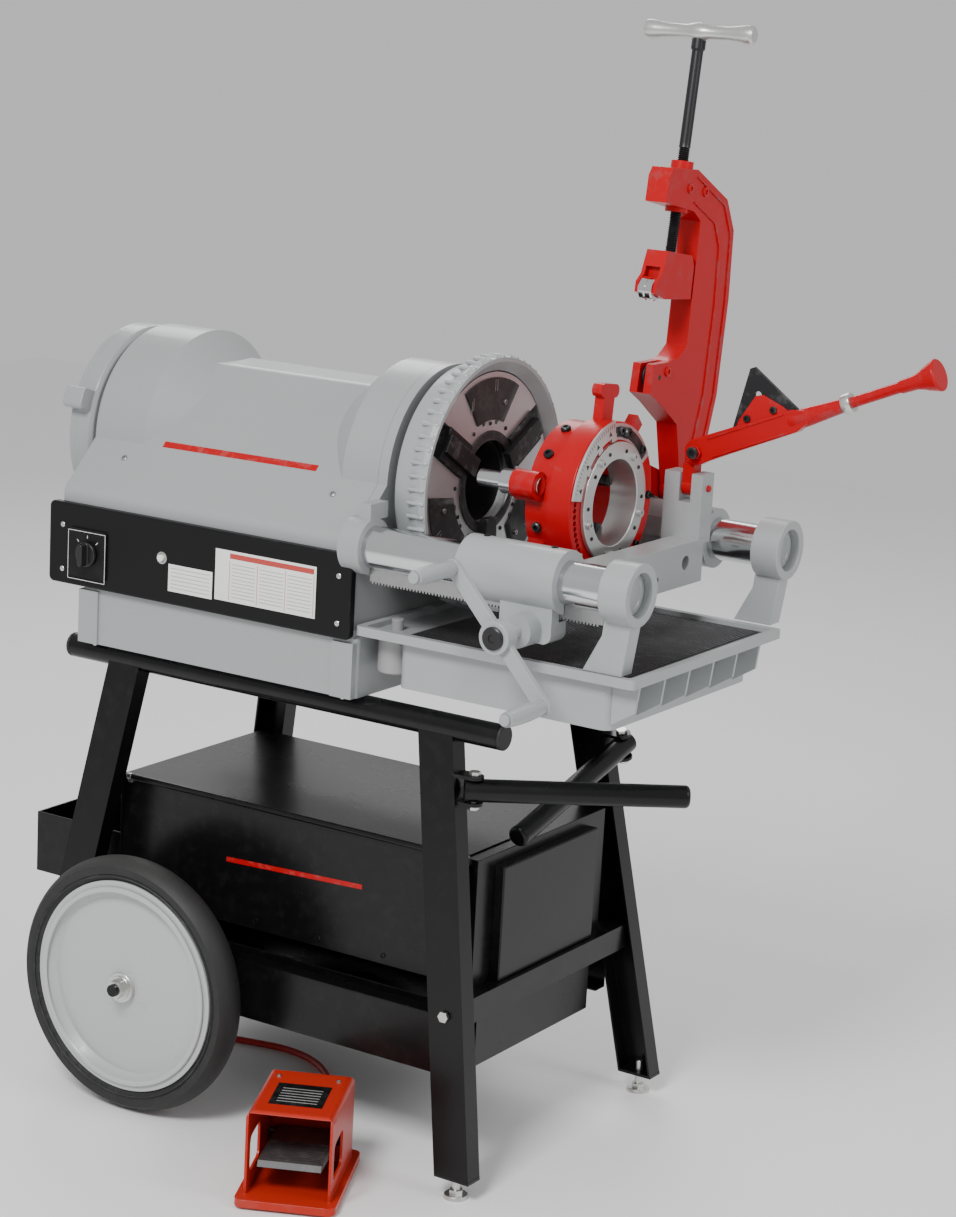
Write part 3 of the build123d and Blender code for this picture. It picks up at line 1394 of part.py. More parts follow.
roller_y = 300.0
wheel_along = 178.0
wheel_across = -134.0
with BuildPart() as cutter_frame:
    with BuildSketch(cutter_plane(cutter_x0)):
        Polygon(
            (20, -4), (44, 70), (58, 150), (54, 300), (40, 404), (6, 448), (-100, 482),
            (-178, 476), (-186, 462), (-186, 424), (-96, 420), (-72, 408), (-68, 330),
            (-62, 220), (-84, 200), (-112, 192), (-156, 186), (-157, 142), (-120, 128), (-60, 100),
            (-22, 6), align=None,
        )
    extrude(amount=cutter_x1 - cutter_x0)
    with BuildSketch(cutter_plane(cutter_x0)):
        Circle(lug_r - 1)
    extrude(amount=cutter_x1 - cutter_x0 + 1.5)
    with BuildSketch(cutter_plane(cutter_mid - 13)):
        Polygon((14, 60), (34, 150), (32, 300), (18, 396), (-30, 440), (-52, 380), (-46, 220), (-10, 100), align=None)
    extrude(amount=26, mode=Mode.SUBTRACT)
    with BuildSketch(cutter_plane(cutter_mid - 5)):
        Polygon((14, 60), (34, 150), (32, 300), (18, 396), (-30, 440), (-52, 380), (-46, 220), (-10, 100), align=None)
    extrude(amount=10)
    with BuildSketch(cutter_plane(cutter_mid - 5)):
        with Locations((wheel_across, wheel_along + 8)):
            Rectangle(54, 86)
    extrude(amount=10, mode=Mode.SUBTRACT)
    with BuildSketch(cutter_plane(cutter_x0 - 1)):
        Circle(hinge_r + running)
        with Locations((wheel_across, wheel_along - 10)):
            Circle(4 + running)
    extrude(amount=cutter_x1 - cutter_x0 + 4, mode=Mode.SUBTRACT)
    with BuildSketch(screw_plane(415)):
        Circle(17)
    extrude(amount=76)
    with BuildSketch(screw_plane(410)):
        Circle(screw_r + running)
    extrude(amount=90, mode=Mode.SUBTRACT)
keep("cutter_frame", cutter_frame)

with BuildPart() as cutter_wheel:
    with BuildSketch(cutter_plane(cutter_mid - 4)):
        with Locations((wheel_across, wheel_along - 10)):
            Circle(10)
    extrude(amount=8)
    with BuildSketch(cutter_plane(cutter_mid - 2.5)):
        with Locations((wheel_across, wheel_along - 10)):
            Circle(20)
    extrude(amount=5)
    chamfer(cutter_wheel.edges().filter_by(GeomType.CIRCLE).group_by(SortBy.RADIUS)[-1], 2)
    with BuildSketch(cutter_plane(cutter_x0)):
        with Locations((wheel_across, wheel_along - 10)):
            Circle(4)
    extrude(amount=cutter_x1 - cutter_x0)
keep("cutter_wheel", cutter_wheel)

with BuildPart() as cutter_slide:
    with BuildSketch(cutter_plane(cutter_x0)):
        Polygon(
            (-170, 318), (-160, 355), (-84, 355), (-73, 340), (-71, 290), (-150, 284),
            (-182, 290), (-182, 306), align=None,
        )
    extrude(amount=cutter_x1 - cutter_x0)
    with BuildSketch(cutter_plane(cutter_x0 + 6)):
        with Locations((-166, roller_y)):
            Circle(17)
            Rectangle(18, 60)
    extrude(amount=cutter_x1 - cutter_x0 - 12, mode=Mode.SUBTRACT)
    with BuildSketch(cutter_plane(cutter_x0 + 1)):
        with Locations((-166, roller_y)):
            Circle(5)
    extrude(amount=cutter_x1 - cutter_x0 - 2)
    with BuildSketch(screw_plane(356)):
        Circle(6 + running)
    extrude(amount=-16, mode=Mode.SUBTRACT)

with BuildPart() as slide_roller:
    with BuildSketch(cutter_plane(cutter_x0 + 6.3)):
        with Locations((-166, roller_y)):
            Circle(15)
            Circle(5 + running, mode=Mode.SUBTRACT)
    extrude(amount=cutter_x1 - cutter_x0 - 12.6)
keep_group("cutter_slide", cutter_slide, slide_roller)

with BuildPart() as cutter_screw:
    with BuildSketch(screw_plane(355 + gap)):
        Circle(screw_r)
    extrude(amount=t_handle_along - 355 - gap)
    with BuildSketch(screw_plane(355 + gap)):
        Circle(6)
    extrude(amount=-14)
    with BuildSketch(screw_plane(t_handle_along - 34)):
        Circle(19)
    extrude(amount=26, taper=8)
    with BuildSketch(Plane.YZ.offset(cutter_mid - t_handle_length / 2)):
        handle_at = screw_plane(t_handle_along).origin
        with Locations((handle_at.Y, handle_at.Z)):
            Circle(t_handle_r)
    extrude(amount=t_handle_length)
    fillet(cutter_screw.edges().filter_by(GeomType.CIRCLE).group_by(Axis.X)[0], 4)
    fillet(cutter_screw.edges().filter_by(GeomType.CIRCLE).group_by(Axis.X)[-1], 4)
keep("cutter_screw", cutter_screw)

# ---------------------------------------------------------------- reamer
with BuildPart() as reamer_knuckle:
    with BuildSketch(Plane.YZ.offset(tongue_x - tongue_width / 2)):
        with Locations((knuckle_pin_y, knuckle_pin_z)):
            Circle(14)
        with Locations((knuckle_pin_y, (knuckle_pin_z + ream_pin_z) / 2 + 4)):
            Rectangle(24, ream_pin_z - knuckle_pin_z + 8)
    extrude(amount=tongue_width)
    with BuildSketch(Plane.XZ.offset(-ream_pin_y - 5 - gap)):
        with Locations((ream_pin_x, ream_pin_z)):
            Circle(18)
    extrude(amount=-16)
    with BuildSketch(Plane.XZ.offset(-ream_pin_y - 5 - gap)):
        with Locations((tongue_x, ream_pin_z + 10)):
            Rectangle(tongue_width + 12, 60)
    extrude(amount=30, mode=Mode.SUBTRACT)
    with BuildSketch(Plane.YZ.offset(ear_x0 - 4)):
        with Locations((knuckle_pin_y, knuckle_pin_z)):
            Circle(knuckle_pin_r)
    extrude(amount=ear_x1 - ear_x0 + 8)
    with BuildSketch(Plane.XZ.offset(-ream_pin_y - 5 - gap)):
        with Locations((ream_pin_x, ream_pin_z)):
            Circle(7)
    extrude(amount=24)
    with BuildSketch(Plane.XZ.offset(-ream_pin_y + 14)):
        with Locations((ream_pin_x, ream_pin_z)):
            RegularPolygon(11, 6)
    extrude(amount=6)
keep("reamer_knuckle", reamer_knuckle)

lift = radians(ream_lift)


def ream_plane(y):
    """Plane facing the operator at a given y: local X runs along the reamer's arm."""
    return Plane(origin=(ream_pin_x, y, ream_pin_z), x_dir=(cos(lift), 0, sin(lift)), z_dir=(0, -1, 0))


def ream_section(along):
    """Plane square to the reamer's arm."""
    base = ream_plane(ream_pin_y)
    return Plane(origin=base.origin + base.x_dir * along, x_dir=base.y_dir, z_dir=base.x_dir)


with BuildPart() as reamer_arm:
    with BuildSketch(ream_plane(ream_pin_y + 5)):
        Circle(20)
        Polygon((0, -19), (0, 20), (40, 19), (170, 17), (192, 10), (192, -10), (170, -17), (40, -18), align=None)
    extrude(amount=18)
    fillet(reamer_arm.edges().group_by(Axis.Y)[0], 2)
    with BuildSketch(ream_section(186)):
        Circle(8)
    extrude(amount=ream_length - 23 - 186)
    with BuildSketch(ream_section(252)):
        Circle(14)
    extrude(amount=12)
    with BuildSketch(ream_section(ream_length - 23)):
        Circle(17)
    extrude(amount=23, taper=-20)
    fillet(reamer_arm.faces().sort_by(Axis(ream_plane(0).origin, ream_plane(0).x_dir))[-1].edges(), 3)
    with BuildSketch(ream_plane(ream_pin_y + 10)):
        Circle(7 + running)
    extrude(amount=30, mode=Mode.SUBTRACT)
    with BuildSketch(ream_plane(ream_pin_y - 4 + blade_thickness / 2 + running)):
        with Locations((124, 14)):
            Rectangle(136, 34)
    extrude(amount=blade_thickness + 2 * running, mode=Mode.SUBTRACT)
keep("reamer_arm", reamer_arm)

with BuildPart() as reamer_blade:
    with BuildSketch(ream_plane(ream_pin_y - 4 + blade_thickness / 2)):
        Polygon((61, 0), (184, 0), (184, 8), (132, 93), (124, 93), (61, 8), align=None)
        with Locations((124, 52)):
            Circle(6, mode=Mode.SUBTRACT)
    extrude(amount=blade_thickness)
keep("reamer_blade", reamer_blade)

# ---------------------------------------------------------------- foot switch
def switch_base_plane(z):
    """Floor-parallel plane of the foot switch: local -Y faces whoever steps on it."""
    yaw = radians(switch_yaw)
    return Plane(origin=(switch_x, switch_y, z), x_dir=(cos(yaw), sin(yaw), 0), z_dir=(0, 0, 1))


def switch_side_plane(across):
    """Upright plane along the switch's depth, at a distance across its width."""
    base = switch_base_plane(0)
    return Plane(origin=base.origin + base.x_dir * across, x_dir=base.y_dir, z_dir=base.x_dir)


floor_z = rubber_foot + switch_base_height
with BuildPart() as foot_switch_housing:
    with BuildSketch(switch_base_plane(rubber_foot)):
        RectangleRounded(switch_base_width, switch_base_depth, 14)
    extrude(amount=switch_base_height)
    with BuildSketch(switch_base_plane(0)):
        with GridLocations(switch_base_width - 36, switch_base_depth - 36, 2, 2):
            Circle(10)
    extrude(amount=rubber_foot + 2)
    with BuildSketch(switch_side_plane(-guard_width / 2)):
        with Locations((0, floor_z - 2 + (guard_height + 2) / 2)):
            Rectangle(guard_depth, guard_height + 2)
    extrude(amount=guard_width)
    fillet(foot_switch_housing.edges().group_by(Axis.Z)[-1], 12)
    with BuildSketch(switch_side_plane(-guard_width / 2 + guard_wall)):
        with Locations((-guard_wall, floor_z + (guard_height - guard_wall) / 2)):
            Rectangle(guard_depth, guard_height - guard_wall)
    extrude(amount=guard_width - 2 * guard_wall, mode=Mode.SUBTRACT)
    with BuildSketch(switch_side_plane(-guard_width / 2 - 1)):
        with Locations((-34, floor_z + 52)):
            RectangleRounded(70, 56, 12)
    extrude(amount=guard_width + 2, mode=Mode.SUBTRACT)
    with BuildSketch(switch_base_plane(floor_z)):
        with Locations((0, 70)):
            Rectangle(guard_width - 12, 26)
    extrude(amount=26)
    with BuildSketch(switch_side_plane(-guard_width / 2 + guard_wall - 1)):
        with Locations((treadle_hinge_y, treadle_hinge_z)):
            Circle(5 + running)
    extrude(amount=guard_width - 2 * guard_wall + 2, mode=Mode.SUBTRACT)
    back = switch_side_plane(0)
    with BuildSketch(Plane(
            origin=back.origin + back.x_dir * (guard_depth / 2 - 1) + Vector(0, 0, switch_gland_z),
            x_dir=back.z_dir, z_dir=back.x_dir)):
        Circle(9)
    extrude(amount=switch_gland_length + 1)
keep("foot_switch_housing", foot_switch_housing)

with BuildPart() as foot_treadle:
    with BuildSketch(switch_side_plane(-treadle_width / 2)):
        with Locations((treadle_hinge_y, treadle_hinge_z)):
            Circle(9)
        Polygon(
            (treadle_hinge_y, treadle_hinge_z - 6), (treadle_hinge_y, treadle_hinge_z + 9),
            (-74, treadle_hinge_z + 13), (-80, treadle_hinge_z + 4), (-72, treadle_hinge_z + 3),
            align=None,
        )
    extrude(amount=treadle_width)
    with BuildSketch(switch_side_plane(-guard_width / 2 + guard_wall + gap)):
        with Locations((treadle_hinge_y, treadle_hinge_z)):
            Circle(5)
    extrude(amount=guard_width - 2 * guard_wall - 2 * gap)
keep("foot_treadle", foot_treadle)

# ---------------------------------------------------------------- cord
switch_back = switch_base_plane(0)
cord_start = switch_back.origin + switch_back.y_dir * (guard_depth / 2 + switch_gland_length)
cord_lead = cord_start + switch_back.y_dir * 60
cord_points = [
    (cord_start.X, cord_start.Y, switch_gland_z),
    (cord_lead.X, cord_lead.Y, switch_gland_z), (-105, -172, 7), (-140, -118, 5.5), (-172, -62, 5.5),
    (-212, -14, 5.5), (-262, 20, 5.5), (-322, 34, 5.5), (-384, 22, 5.5), (-446, 6, 5.5),
    (-510, 14, 5.5), (-566, 54, 5.5), (-606, 112, 5.5), (-626, 172, 14), (-628, 216, 52),
    (-622, 238, 112), (-617, 240, 190), (-612, 243, 275), (-596, 252, 355), (-566, 260, 430),
    (-532, 256, 510), (-505, 244, 590), (gland_x, gland_y, 645), (gland_x, gland_y, base_z0 - gland_length),
]


def bend_radii(points):
    """Fillet radius at each inner corner: 0.45 of the shorter run over the half turn's tangent."""
    radii = []
    for before, here, after in zip(points, points[1:], points[2:]):
        first = Vector(*here) - Vector(*before)
        second = Vector(*after) - Vector(*here)
        turn = radians(first.get_angle(second))
        radii.append(0.45 * min(first.length, second.length) / tan(turn / 2))
    return radii


cord_radii = bend_radii(cord_points)
with BuildPart() as cord:
    with BuildLine() as cord_path:
        FilletPolyline(*cord_points, radius=cord_radii)
    start_way = Vector(*cord_points[1]) - Vector(*cord_points[0])
    with BuildSketch(Plane(origin=cord_points[0], z_dir=start_way)):
        Circle(cord_r)
    sweep(path=cord_path.wires()[0])
cord_length = cord_path.wires()[0].length
print("cord radii, smallest first:", [round(r) for r in sorted(cord_radii)])
print("cord length %.0f, volume over section x length %.4f"
      % (cord_length, cord.part.volume / (3.14159265 * cord_r ** 2 * cord_length)))
keep("cord", cord)

# ---------------------------------------------------------------- placing and export
footprint = Compound([piece for name, piece in pieces.items() if name != "cord"]).bounding_box()
shift = Vector(-(footprint.min.X + footprint.max.X) / 2, -(footprint.min.Y + footprint.max.Y) / 2, 0)
print("shift", shift.X, shift.Y)
for name, piece in pieces.items():
    placed = piece.moved(Location(shift))
    placed.label = name
    export_step(placed, "parts/%s.step" % name)
print(len(pieces), "nodes")
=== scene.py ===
"""Looks of a pipe threading machine on its wheeled stand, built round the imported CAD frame."""
from __future__ import annotations

import json
import logging
import math
from dataclasses import dataclass, field
from enum import Enum

import bmesh
import bpy
from mathutils import Matrix, Vector

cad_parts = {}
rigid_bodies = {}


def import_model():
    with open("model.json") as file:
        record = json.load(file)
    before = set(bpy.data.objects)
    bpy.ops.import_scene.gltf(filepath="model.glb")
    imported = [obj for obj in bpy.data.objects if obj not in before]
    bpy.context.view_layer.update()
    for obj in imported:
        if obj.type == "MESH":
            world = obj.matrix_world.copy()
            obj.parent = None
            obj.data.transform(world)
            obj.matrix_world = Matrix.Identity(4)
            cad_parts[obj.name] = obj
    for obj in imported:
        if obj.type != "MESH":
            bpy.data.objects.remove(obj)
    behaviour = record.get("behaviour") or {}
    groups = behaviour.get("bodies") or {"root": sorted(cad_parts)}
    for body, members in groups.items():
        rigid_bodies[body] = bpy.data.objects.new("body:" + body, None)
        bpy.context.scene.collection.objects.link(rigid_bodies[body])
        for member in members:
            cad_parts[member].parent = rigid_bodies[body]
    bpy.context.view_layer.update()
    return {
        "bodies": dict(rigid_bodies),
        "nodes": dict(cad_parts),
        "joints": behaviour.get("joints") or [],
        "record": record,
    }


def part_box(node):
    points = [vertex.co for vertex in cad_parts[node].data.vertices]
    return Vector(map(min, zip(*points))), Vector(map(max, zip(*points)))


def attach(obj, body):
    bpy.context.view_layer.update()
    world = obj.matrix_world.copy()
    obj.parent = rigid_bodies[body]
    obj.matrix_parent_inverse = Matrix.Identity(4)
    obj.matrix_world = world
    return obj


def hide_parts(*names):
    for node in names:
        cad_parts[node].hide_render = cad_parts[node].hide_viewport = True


log = logging.getLogger("threading_machine")

SHIFT = Vector((0.006721592563831052, 0.07484578465436897, 0.0))


def at(x: float, y: float, z: float) -> Vector:
    """Turns millimetres about the spindle's upright plane into a point of the frame.

    Args:
        x: along the spindle, towards the carriage.
        y: away from the operator.
        z: height over the floor.

    Returns:
        The point in the frame, in metres.
    """
    return Vector((x / 1000, y / 1000, z / 1000)) + SHIFT


SPINDLE_HEIGHT = 1012
RAIL_ASIDE, RAIL_HEIGHT = 225.8, 936.4
HINGE_ASIDE, HINGE_HEIGHT = 262, 995
CHUCK_FACE_CENTRE = at(23, 0, SPINDLE_HEIGHT)
CAM_CENTRE = at(240, 0, SPINDLE_HEIGHT)
THROAT_CENTRE = at(246, 0, SPINDLE_HEIGHT)
FORWARD, NEARWARD, UPWARD = Vector((1, 0, 0)), Vector((0, -1, 0)), Vector((0, 0, 1))
CUTTER_LEAN = math.radians(8.0)
SMOOTH_BELOW = math.radians(34)


class Way(Enum):
    """How the fine lines of a machined surface run."""

    ROUND_X = (900.0, 14.0, 14.0)
    EVEN = (260.0, 260.0, 260.0)


# ---------------------------------------------------------------- shader groups
def group_socket(tree: bpy.types.NodeTree, name: str, kind: str, out: bool = False,
                 value: object = None) -> None:
    """Adds one named socket to a group.

    Args:
        tree: the group's node tree.
        name: the socket's name.
        kind: the socket's type.
        out: True for an output.
        value: default of an input.
    """
    socket = tree.interface.new_socket(name=name, in_out="OUTPUT" if out else "INPUT", socket_type=kind)
    if value is not None:
        socket.default_value = value


def set_node(tree: bpy.types.NodeTree, kind: str, feeds: dict[str | int, object] | None = None,
             **options: object) -> bpy.types.Node:
    """Adds a node to a tree, sets it up and feeds its inputs.

    Args:
        tree: the node tree.
        kind: the node's type.
        feeds: for each input, the socket that feeds it or its constant.
        options: the node's own options, set before its inputs.

    Returns:
        The node.
    """
    made = tree.nodes.new(kind)
    for option, value in options.items():
        setattr(made, option, value)
    for key, value in (feeds or {}).items():
        if isinstance(value, bpy.types.NodeSocket):
            tree.links.new(value, made.inputs[key])
        else:
            made.inputs[key].default_value = value
    return made


class SurfaceGroups:
    """The shared shader groups, each built once."""

    def __init__(self) -> None:
        """Builds the groups that the finishes place."""
        self.wear = self._wear()
        self.grain = self._grain()
        self.dust = self._dust()

    def _wear(self) -> bpy.types.NodeTree:
        """Builds the edge wear group: rubbed corners and small chips.

        Returns:
            The group, with Color and Mask outputs.
        """
        tree = bpy.data.node_groups.new("edge_wear", "ShaderNodeTree")
        group_socket(tree, "Color", "NodeSocketColor", value=(0.5, 0.5, 0.5, 1))
        group_socket(tree, "Worn Color", "NodeSocketColor", value=(0.6, 0.6, 0.6, 1))
        group_socket(tree, "Amount", "NodeSocketFloat", value=0.5)
        group_socket(tree, "Scale", "NodeSocketFloat", value=40.0)
        group_socket(tree, "Color", "NodeSocketColor", out=True)
        group_socket(tree, "Mask", "NodeSocketFloat", out=True)
        inlet = set_node(tree, "NodeGroupInput")
        outlet = set_node(tree, "NodeGroupOutput")
        place = set_node(tree, "ShaderNodeTexCoord")
        geometry = set_node(tree, "ShaderNodeNewGeometry")
        edge = set_node(tree, "ShaderNodeMapRange",
                        {"From Min": 0.52, "From Max": 0.60, "Value": geometry.outputs["Pointiness"]})
        chips = set_node(tree, "ShaderNodeTexNoise",
                         {"Detail": 6.0, "Roughness": 0.7, "Vector": place.outputs["Object"],
                          "Scale": inlet.outputs["Scale"]})
        spots = set_node(tree, "ShaderNodeMapRange",
                         {"From Min": 0.50, "From Max": 0.62, "Value": chips.outputs["Fac"]})
        both = set_node(tree, "ShaderNodeMath", {0: edge.outputs["Result"], 1: spots.outputs["Result"]},
                        operation="MULTIPLY")
        rare = set_node(tree, "ShaderNodeMapRange",
                        {"From Min": 0.69, "From Max": 0.74, "To Max": 0.5, "Value": chips.outputs["Fac"]})
        total = set_node(tree, "ShaderNodeMath", {0: both.outputs[0], 1: rare.outputs["Result"]},
                         operation="MAXIMUM")
        scaled = set_node(tree, "ShaderNodeMath", {0: total.outputs[0], 1: inlet.outputs["Amount"]},
                          operation="MULTIPLY", use_clamp=True)
        mix = set_node(tree, "ShaderNodeMix",
                       {"Factor": scaled.outputs[0], "A": inlet.outputs["Color"],
                        "B": inlet.outputs["Worn Color"]},
                       data_type="RGBA")
        tree.links.new(mix.outputs["Result"], outlet.inputs["Color"])
        tree.links.new(scaled.outputs[0], outlet.inputs["Mask"])
        return tree

    def _grain(self) -> bpy.types.NodeTree:
        """Builds the fine grain group: a height and a roughness that vary over the surface.

        Returns:
            The group, with Height and Roughness outputs.
        """
        tree = bpy.data.node_groups.new("fine_grain", "ShaderNodeTree")
        group_socket(tree, "Stretch", "NodeSocketVector", value=(200.0, 200.0, 200.0))
        group_socket(tree, "Roughness", "NodeSocketFloat", value=0.4)
        group_socket(tree, "Spread", "NodeSocketFloat", value=0.1)
        group_socket(tree, "Height", "NodeSocketFloat", out=True)
        group_socket(tree, "Roughness", "NodeSocketFloat", out=True)
        inlet = set_node(tree, "NodeGroupInput")
        outlet = set_node(tree, "NodeGroupOutput")
        place = set_node(tree, "ShaderNodeTexCoord")
        stretch = set_node(tree, "ShaderNodeVectorMath",
                           {0: place.outputs["Object"], 1: inlet.outputs["Stretch"]},
                           operation="MULTIPLY")
        fine = set_node(tree, "ShaderNodeTexNoise",
                        {"Scale": 1.0, "Detail": 4.0, "Vector": stretch.outputs["Vector"]})
        broad = set_node(tree, "ShaderNodeTexNoise",
                         {"Scale": 7.0, "Detail": 3.0, "Vector": place.outputs["Object"]})
        centred = set_node(tree, "ShaderNodeMath", {1: 0.5, 0: broad.outputs["Fac"]},
                           operation="SUBTRACT")
        spread = set_node(tree, "ShaderNodeMath",
                          {0: centred.outputs[0], 1: inlet.outputs["Spread"], 2: inlet.outputs["Roughness"]},
                          operation="MULTIPLY_ADD", use_clamp=True)
        tree.links.new(fine.outputs["Fac"], outlet.inputs["Height"])
        tree.links.new(spread.outputs[0], outlet.inputs["Roughness"])
        return tree

    def _dust(self) -> bpy.types.NodeTree:
        """Builds the dust group: a thin film on faces that look up, and slight colour drift.

        Returns:
            The group, with a Color output.
        """
        tree = bpy.data.node_groups.new("settled_dust", "ShaderNodeTree")
        group_socket(tree, "Color", "NodeSocketColor", value=(0.5, 0.5, 0.5, 1))
        group_socket(tree, "Dust Color", "NodeSocketColor", value=(0.35, 0.33, 0.30, 1))
        group_socket(tree, "Amount", "NodeSocketFloat", value=0.1)
        group_socket(tree, "Drift", "NodeSocketFloat", value=0.06)
        group_socket(tree, "Color", "NodeSocketColor", out=True)
        inlet = set_node(tree, "NodeGroupInput")
        outlet = set_node(tree, "NodeGroupOutput")
        place = set_node(tree, "ShaderNodeTexCoord")
        geometry = set_node(tree, "ShaderNodeNewGeometry")
        split = set_node(tree, "ShaderNodeSeparateXYZ", {"Vector": geometry.outputs["Normal"]})
        up = set_node(tree, "ShaderNodeMapRange",
                      {"From Min": 0.35, "From Max": 1.0, "Value": split.outputs["Z"]})
        cloud = set_node(tree, "ShaderNodeTexNoise",
                         {"Scale": 11.0, "Detail": 8.0, "Vector": place.outputs["Object"]})
        film = set_node(tree, "ShaderNodeMath", {0: up.outputs["Result"], 1: cloud.outputs["Fac"]},
                        operation="MULTIPLY")
        amount = set_node(tree, "ShaderNodeMath", {0: film.outputs[0], 1: inlet.outputs["Amount"]},
                          operation="MULTIPLY", use_clamp=True)
        dusted = set_node(tree, "ShaderNodeMix",
                          {"Factor": amount.outputs[0], "A": inlet.outputs["Color"],
                           "B": inlet.outputs["Dust Color"]},
                          data_type="RGBA")
        tone = set_node(tree, "ShaderNodeTexNoise",
                        {"Scale": 3.5, "Detail": 5.0, "Vector": place.outputs["Object"]})
        centred = set_node(tree, "ShaderNodeMath", {1: 0.5, 0: tone.outputs["Fac"]}, operation="SUBTRACT")
        gain = set_node(tree, "ShaderNodeMath",
                        {2: 1.0, 0: centred.outputs[0], 1: inlet.outputs["Drift"]},
                        operation="MULTIPLY_ADD")
        drift = set_node(tree, "ShaderNodeVectorMath",
                         {0: dusted.outputs["Result"], "Scale": gain.outputs[0]}, operation="SCALE")
        tree.links.new(drift.outputs["Vector"], outlet.inputs["Color"])
        return tree


@dataclass(frozen=True)
class Finish:
    """One surface finish: what it is painted or made of, and how it has worn."""

    name: str
    colour: tuple[float, float, float]
    worn: tuple[float, float, float] = (0.55, 0.54, 0.52)
    roughness: float = 0.4
    spread: float = 0.12
    metallic: float = 0.0
    wear: float = 0.5
    wear_scale: float = 45.0
    dust: float = 0.1
    drift: float = 0.06
    bump: float = 0.08
    depth: float = 0.0004
    way: Way = Way.EVEN
    stretch: float = 1.0
    coat: float = 0.0
    specular: float = 0.5

    def material(self, groups: SurfaceGroups) -> bpy.types.Material:
        """Builds the finish's material, or returns the one already built.

        Args:
            groups: the shared shader groups.

        Returns:
            The material.
        """
        known = bpy.data.materials.get(self.name)
        if known is not None:
            return known
        material = bpy.data.materials.new(self.name)
        material.use_nodes = True
        tree = material.node_tree
        shader = tree.nodes["Principled BSDF"]
        shader.inputs["Metallic"].default_value = self.metallic
        shader.inputs["Coat Weight"].default_value = self.coat
        shader.inputs["Specular IOR Level"].default_value = self.specular
        shader.inputs["Coat Roughness"].default_value = 0.12
        wear = set_node(tree, "ShaderNodeGroup",
                        {"Color": (*self.colour, 1), "Worn Color": (*self.worn, 1), "Amount": self.wear,
                         "Scale": self.wear_scale},
                        node_tree=groups.wear)
        dust = set_node(tree, "ShaderNodeGroup",
                        {"Amount": self.dust, "Drift": self.drift, "Color": wear.outputs["Color"]},
                        node_tree=groups.dust)
        tree.links.new(dust.outputs["Color"], shader.inputs["Base Color"])
        grain = set_node(tree, "ShaderNodeGroup",
                         {"Stretch": [v * self.stretch for v in self.way.value],
                          "Roughness": self.roughness, "Spread": self.spread},
                         node_tree=groups.grain)
        tree.links.new(grain.outputs["Roughness"], shader.inputs["Roughness"])
        bump = set_node(tree, "ShaderNodeBump",
                        {"Strength": self.bump, "Distance": self.depth, "Height": grain.outputs["Height"]})
        tree.links.new(bump.outputs["Normal"], shader.inputs["Normal"])
        return material


CASTING = Finish("casting_grey", (0.31, 0.325, 0.33), worn=(0.30, 0.29, 0.28), roughness=0.36, wear=0.25,
                 dust=0.06, bump=0.12, coat=0.15)
CAST_LIGHT = Finish("carriage_grey", (0.335, 0.352, 0.358), worn=(0.32, 0.31, 0.30), roughness=0.34,
                    wear=0.3, dust=0.08, bump=0.14, coat=0.15)
BLACK_PAINT = Finish("black_enamel", (0.0035, 0.0035, 0.004), worn=(0.05, 0.05, 0.05), roughness=0.27,
                     wear=0.14, dust=0.006, drift=0.2, bump=0.10, coat=0.03, specular=0.28)
BAND_PAINT = Finish("band_black_paint", (0.004, 0.004, 0.0045), worn=(0.12, 0.12, 0.12), roughness=0.38,
                    wear=0.2, dust=0.008, bump=0.06, specular=0.25)
RED_PAINT = Finish("tool_red_paint", (0.44, 0.0008, 0.005), worn=(0.16, 0.10, 0.10), roughness=0.30,
                   wear=0.45, dust=0.01, drift=0.16, bump=0.16, depth=0.0006, stretch=0.7, coat=0.02,
                   specular=0.22)
ORANGE_PAINT = Finish("guard_red", (0.45, 0.016, 0.004), worn=(0.25, 0.2, 0.18), roughness=0.32, wear=0.4,
                      dust=0.03, bump=0.10, coat=0.06, specular=0.3)
DISC_PAINT = Finish("disc_grey", (0.44, 0.455, 0.45), worn=(0.3, 0.3, 0.3), roughness=0.28, wear=0.25,
                    dust=0.05, bump=0.06, coat=0.3)
TYRE = Finish("tyre_rubber_finish", (0.012, 0.012, 0.0125), worn=(0.06, 0.06, 0.06), roughness=0.62,
              wear=0.4, dust=0.1, drift=0.25, bump=0.25, depth=0.0006, stretch=1.4)
CAP_RUBBER = Finish("cap_rubber", (0.010, 0.010, 0.010), worn=(0.05, 0.05, 0.05), roughness=0.55, bump=0.2,
                    stretch=1.6)
ZINC = Finish("zinc_plate", (0.62, 0.62, 0.60), worn=(0.45, 0.42, 0.38), roughness=0.30, metallic=1.0,
              wear=0.4, dust=0.05, bump=0.10)
BRIGHT = Finish("ground_steel", (0.66, 0.67, 0.68), worn=(0.45, 0.45, 0.45), roughness=0.16, spread=0.08,
                metallic=1.0, wear=0.2, dust=0.0, bump=0.10, depth=0.0002, way=Way.ROUND_X)
CHUCK_FACE = Finish("chuck_face", (0.66, 0.68, 0.69), worn=(0.35, 0.35, 0.35), roughness=0.40, spread=0.10,
                    metallic=1.0, wear=0.25, dust=0.0, bump=0.14, depth=0.0003)
MACHINED = Finish("machined_steel", (0.42, 0.42, 0.42), worn=(0.25, 0.24, 0.22), roughness=0.32,
                  metallic=1.0, wear=0.3, dust=0.03, bump=0.2, depth=0.0003)
BLACKED = Finish("blackened_steel", (0.025, 0.025, 0.027), worn=(0.22, 0.22, 0.22), roughness=0.36,
                 metallic=0.6, wear=0.6, dust=0.02, bump=0.12)
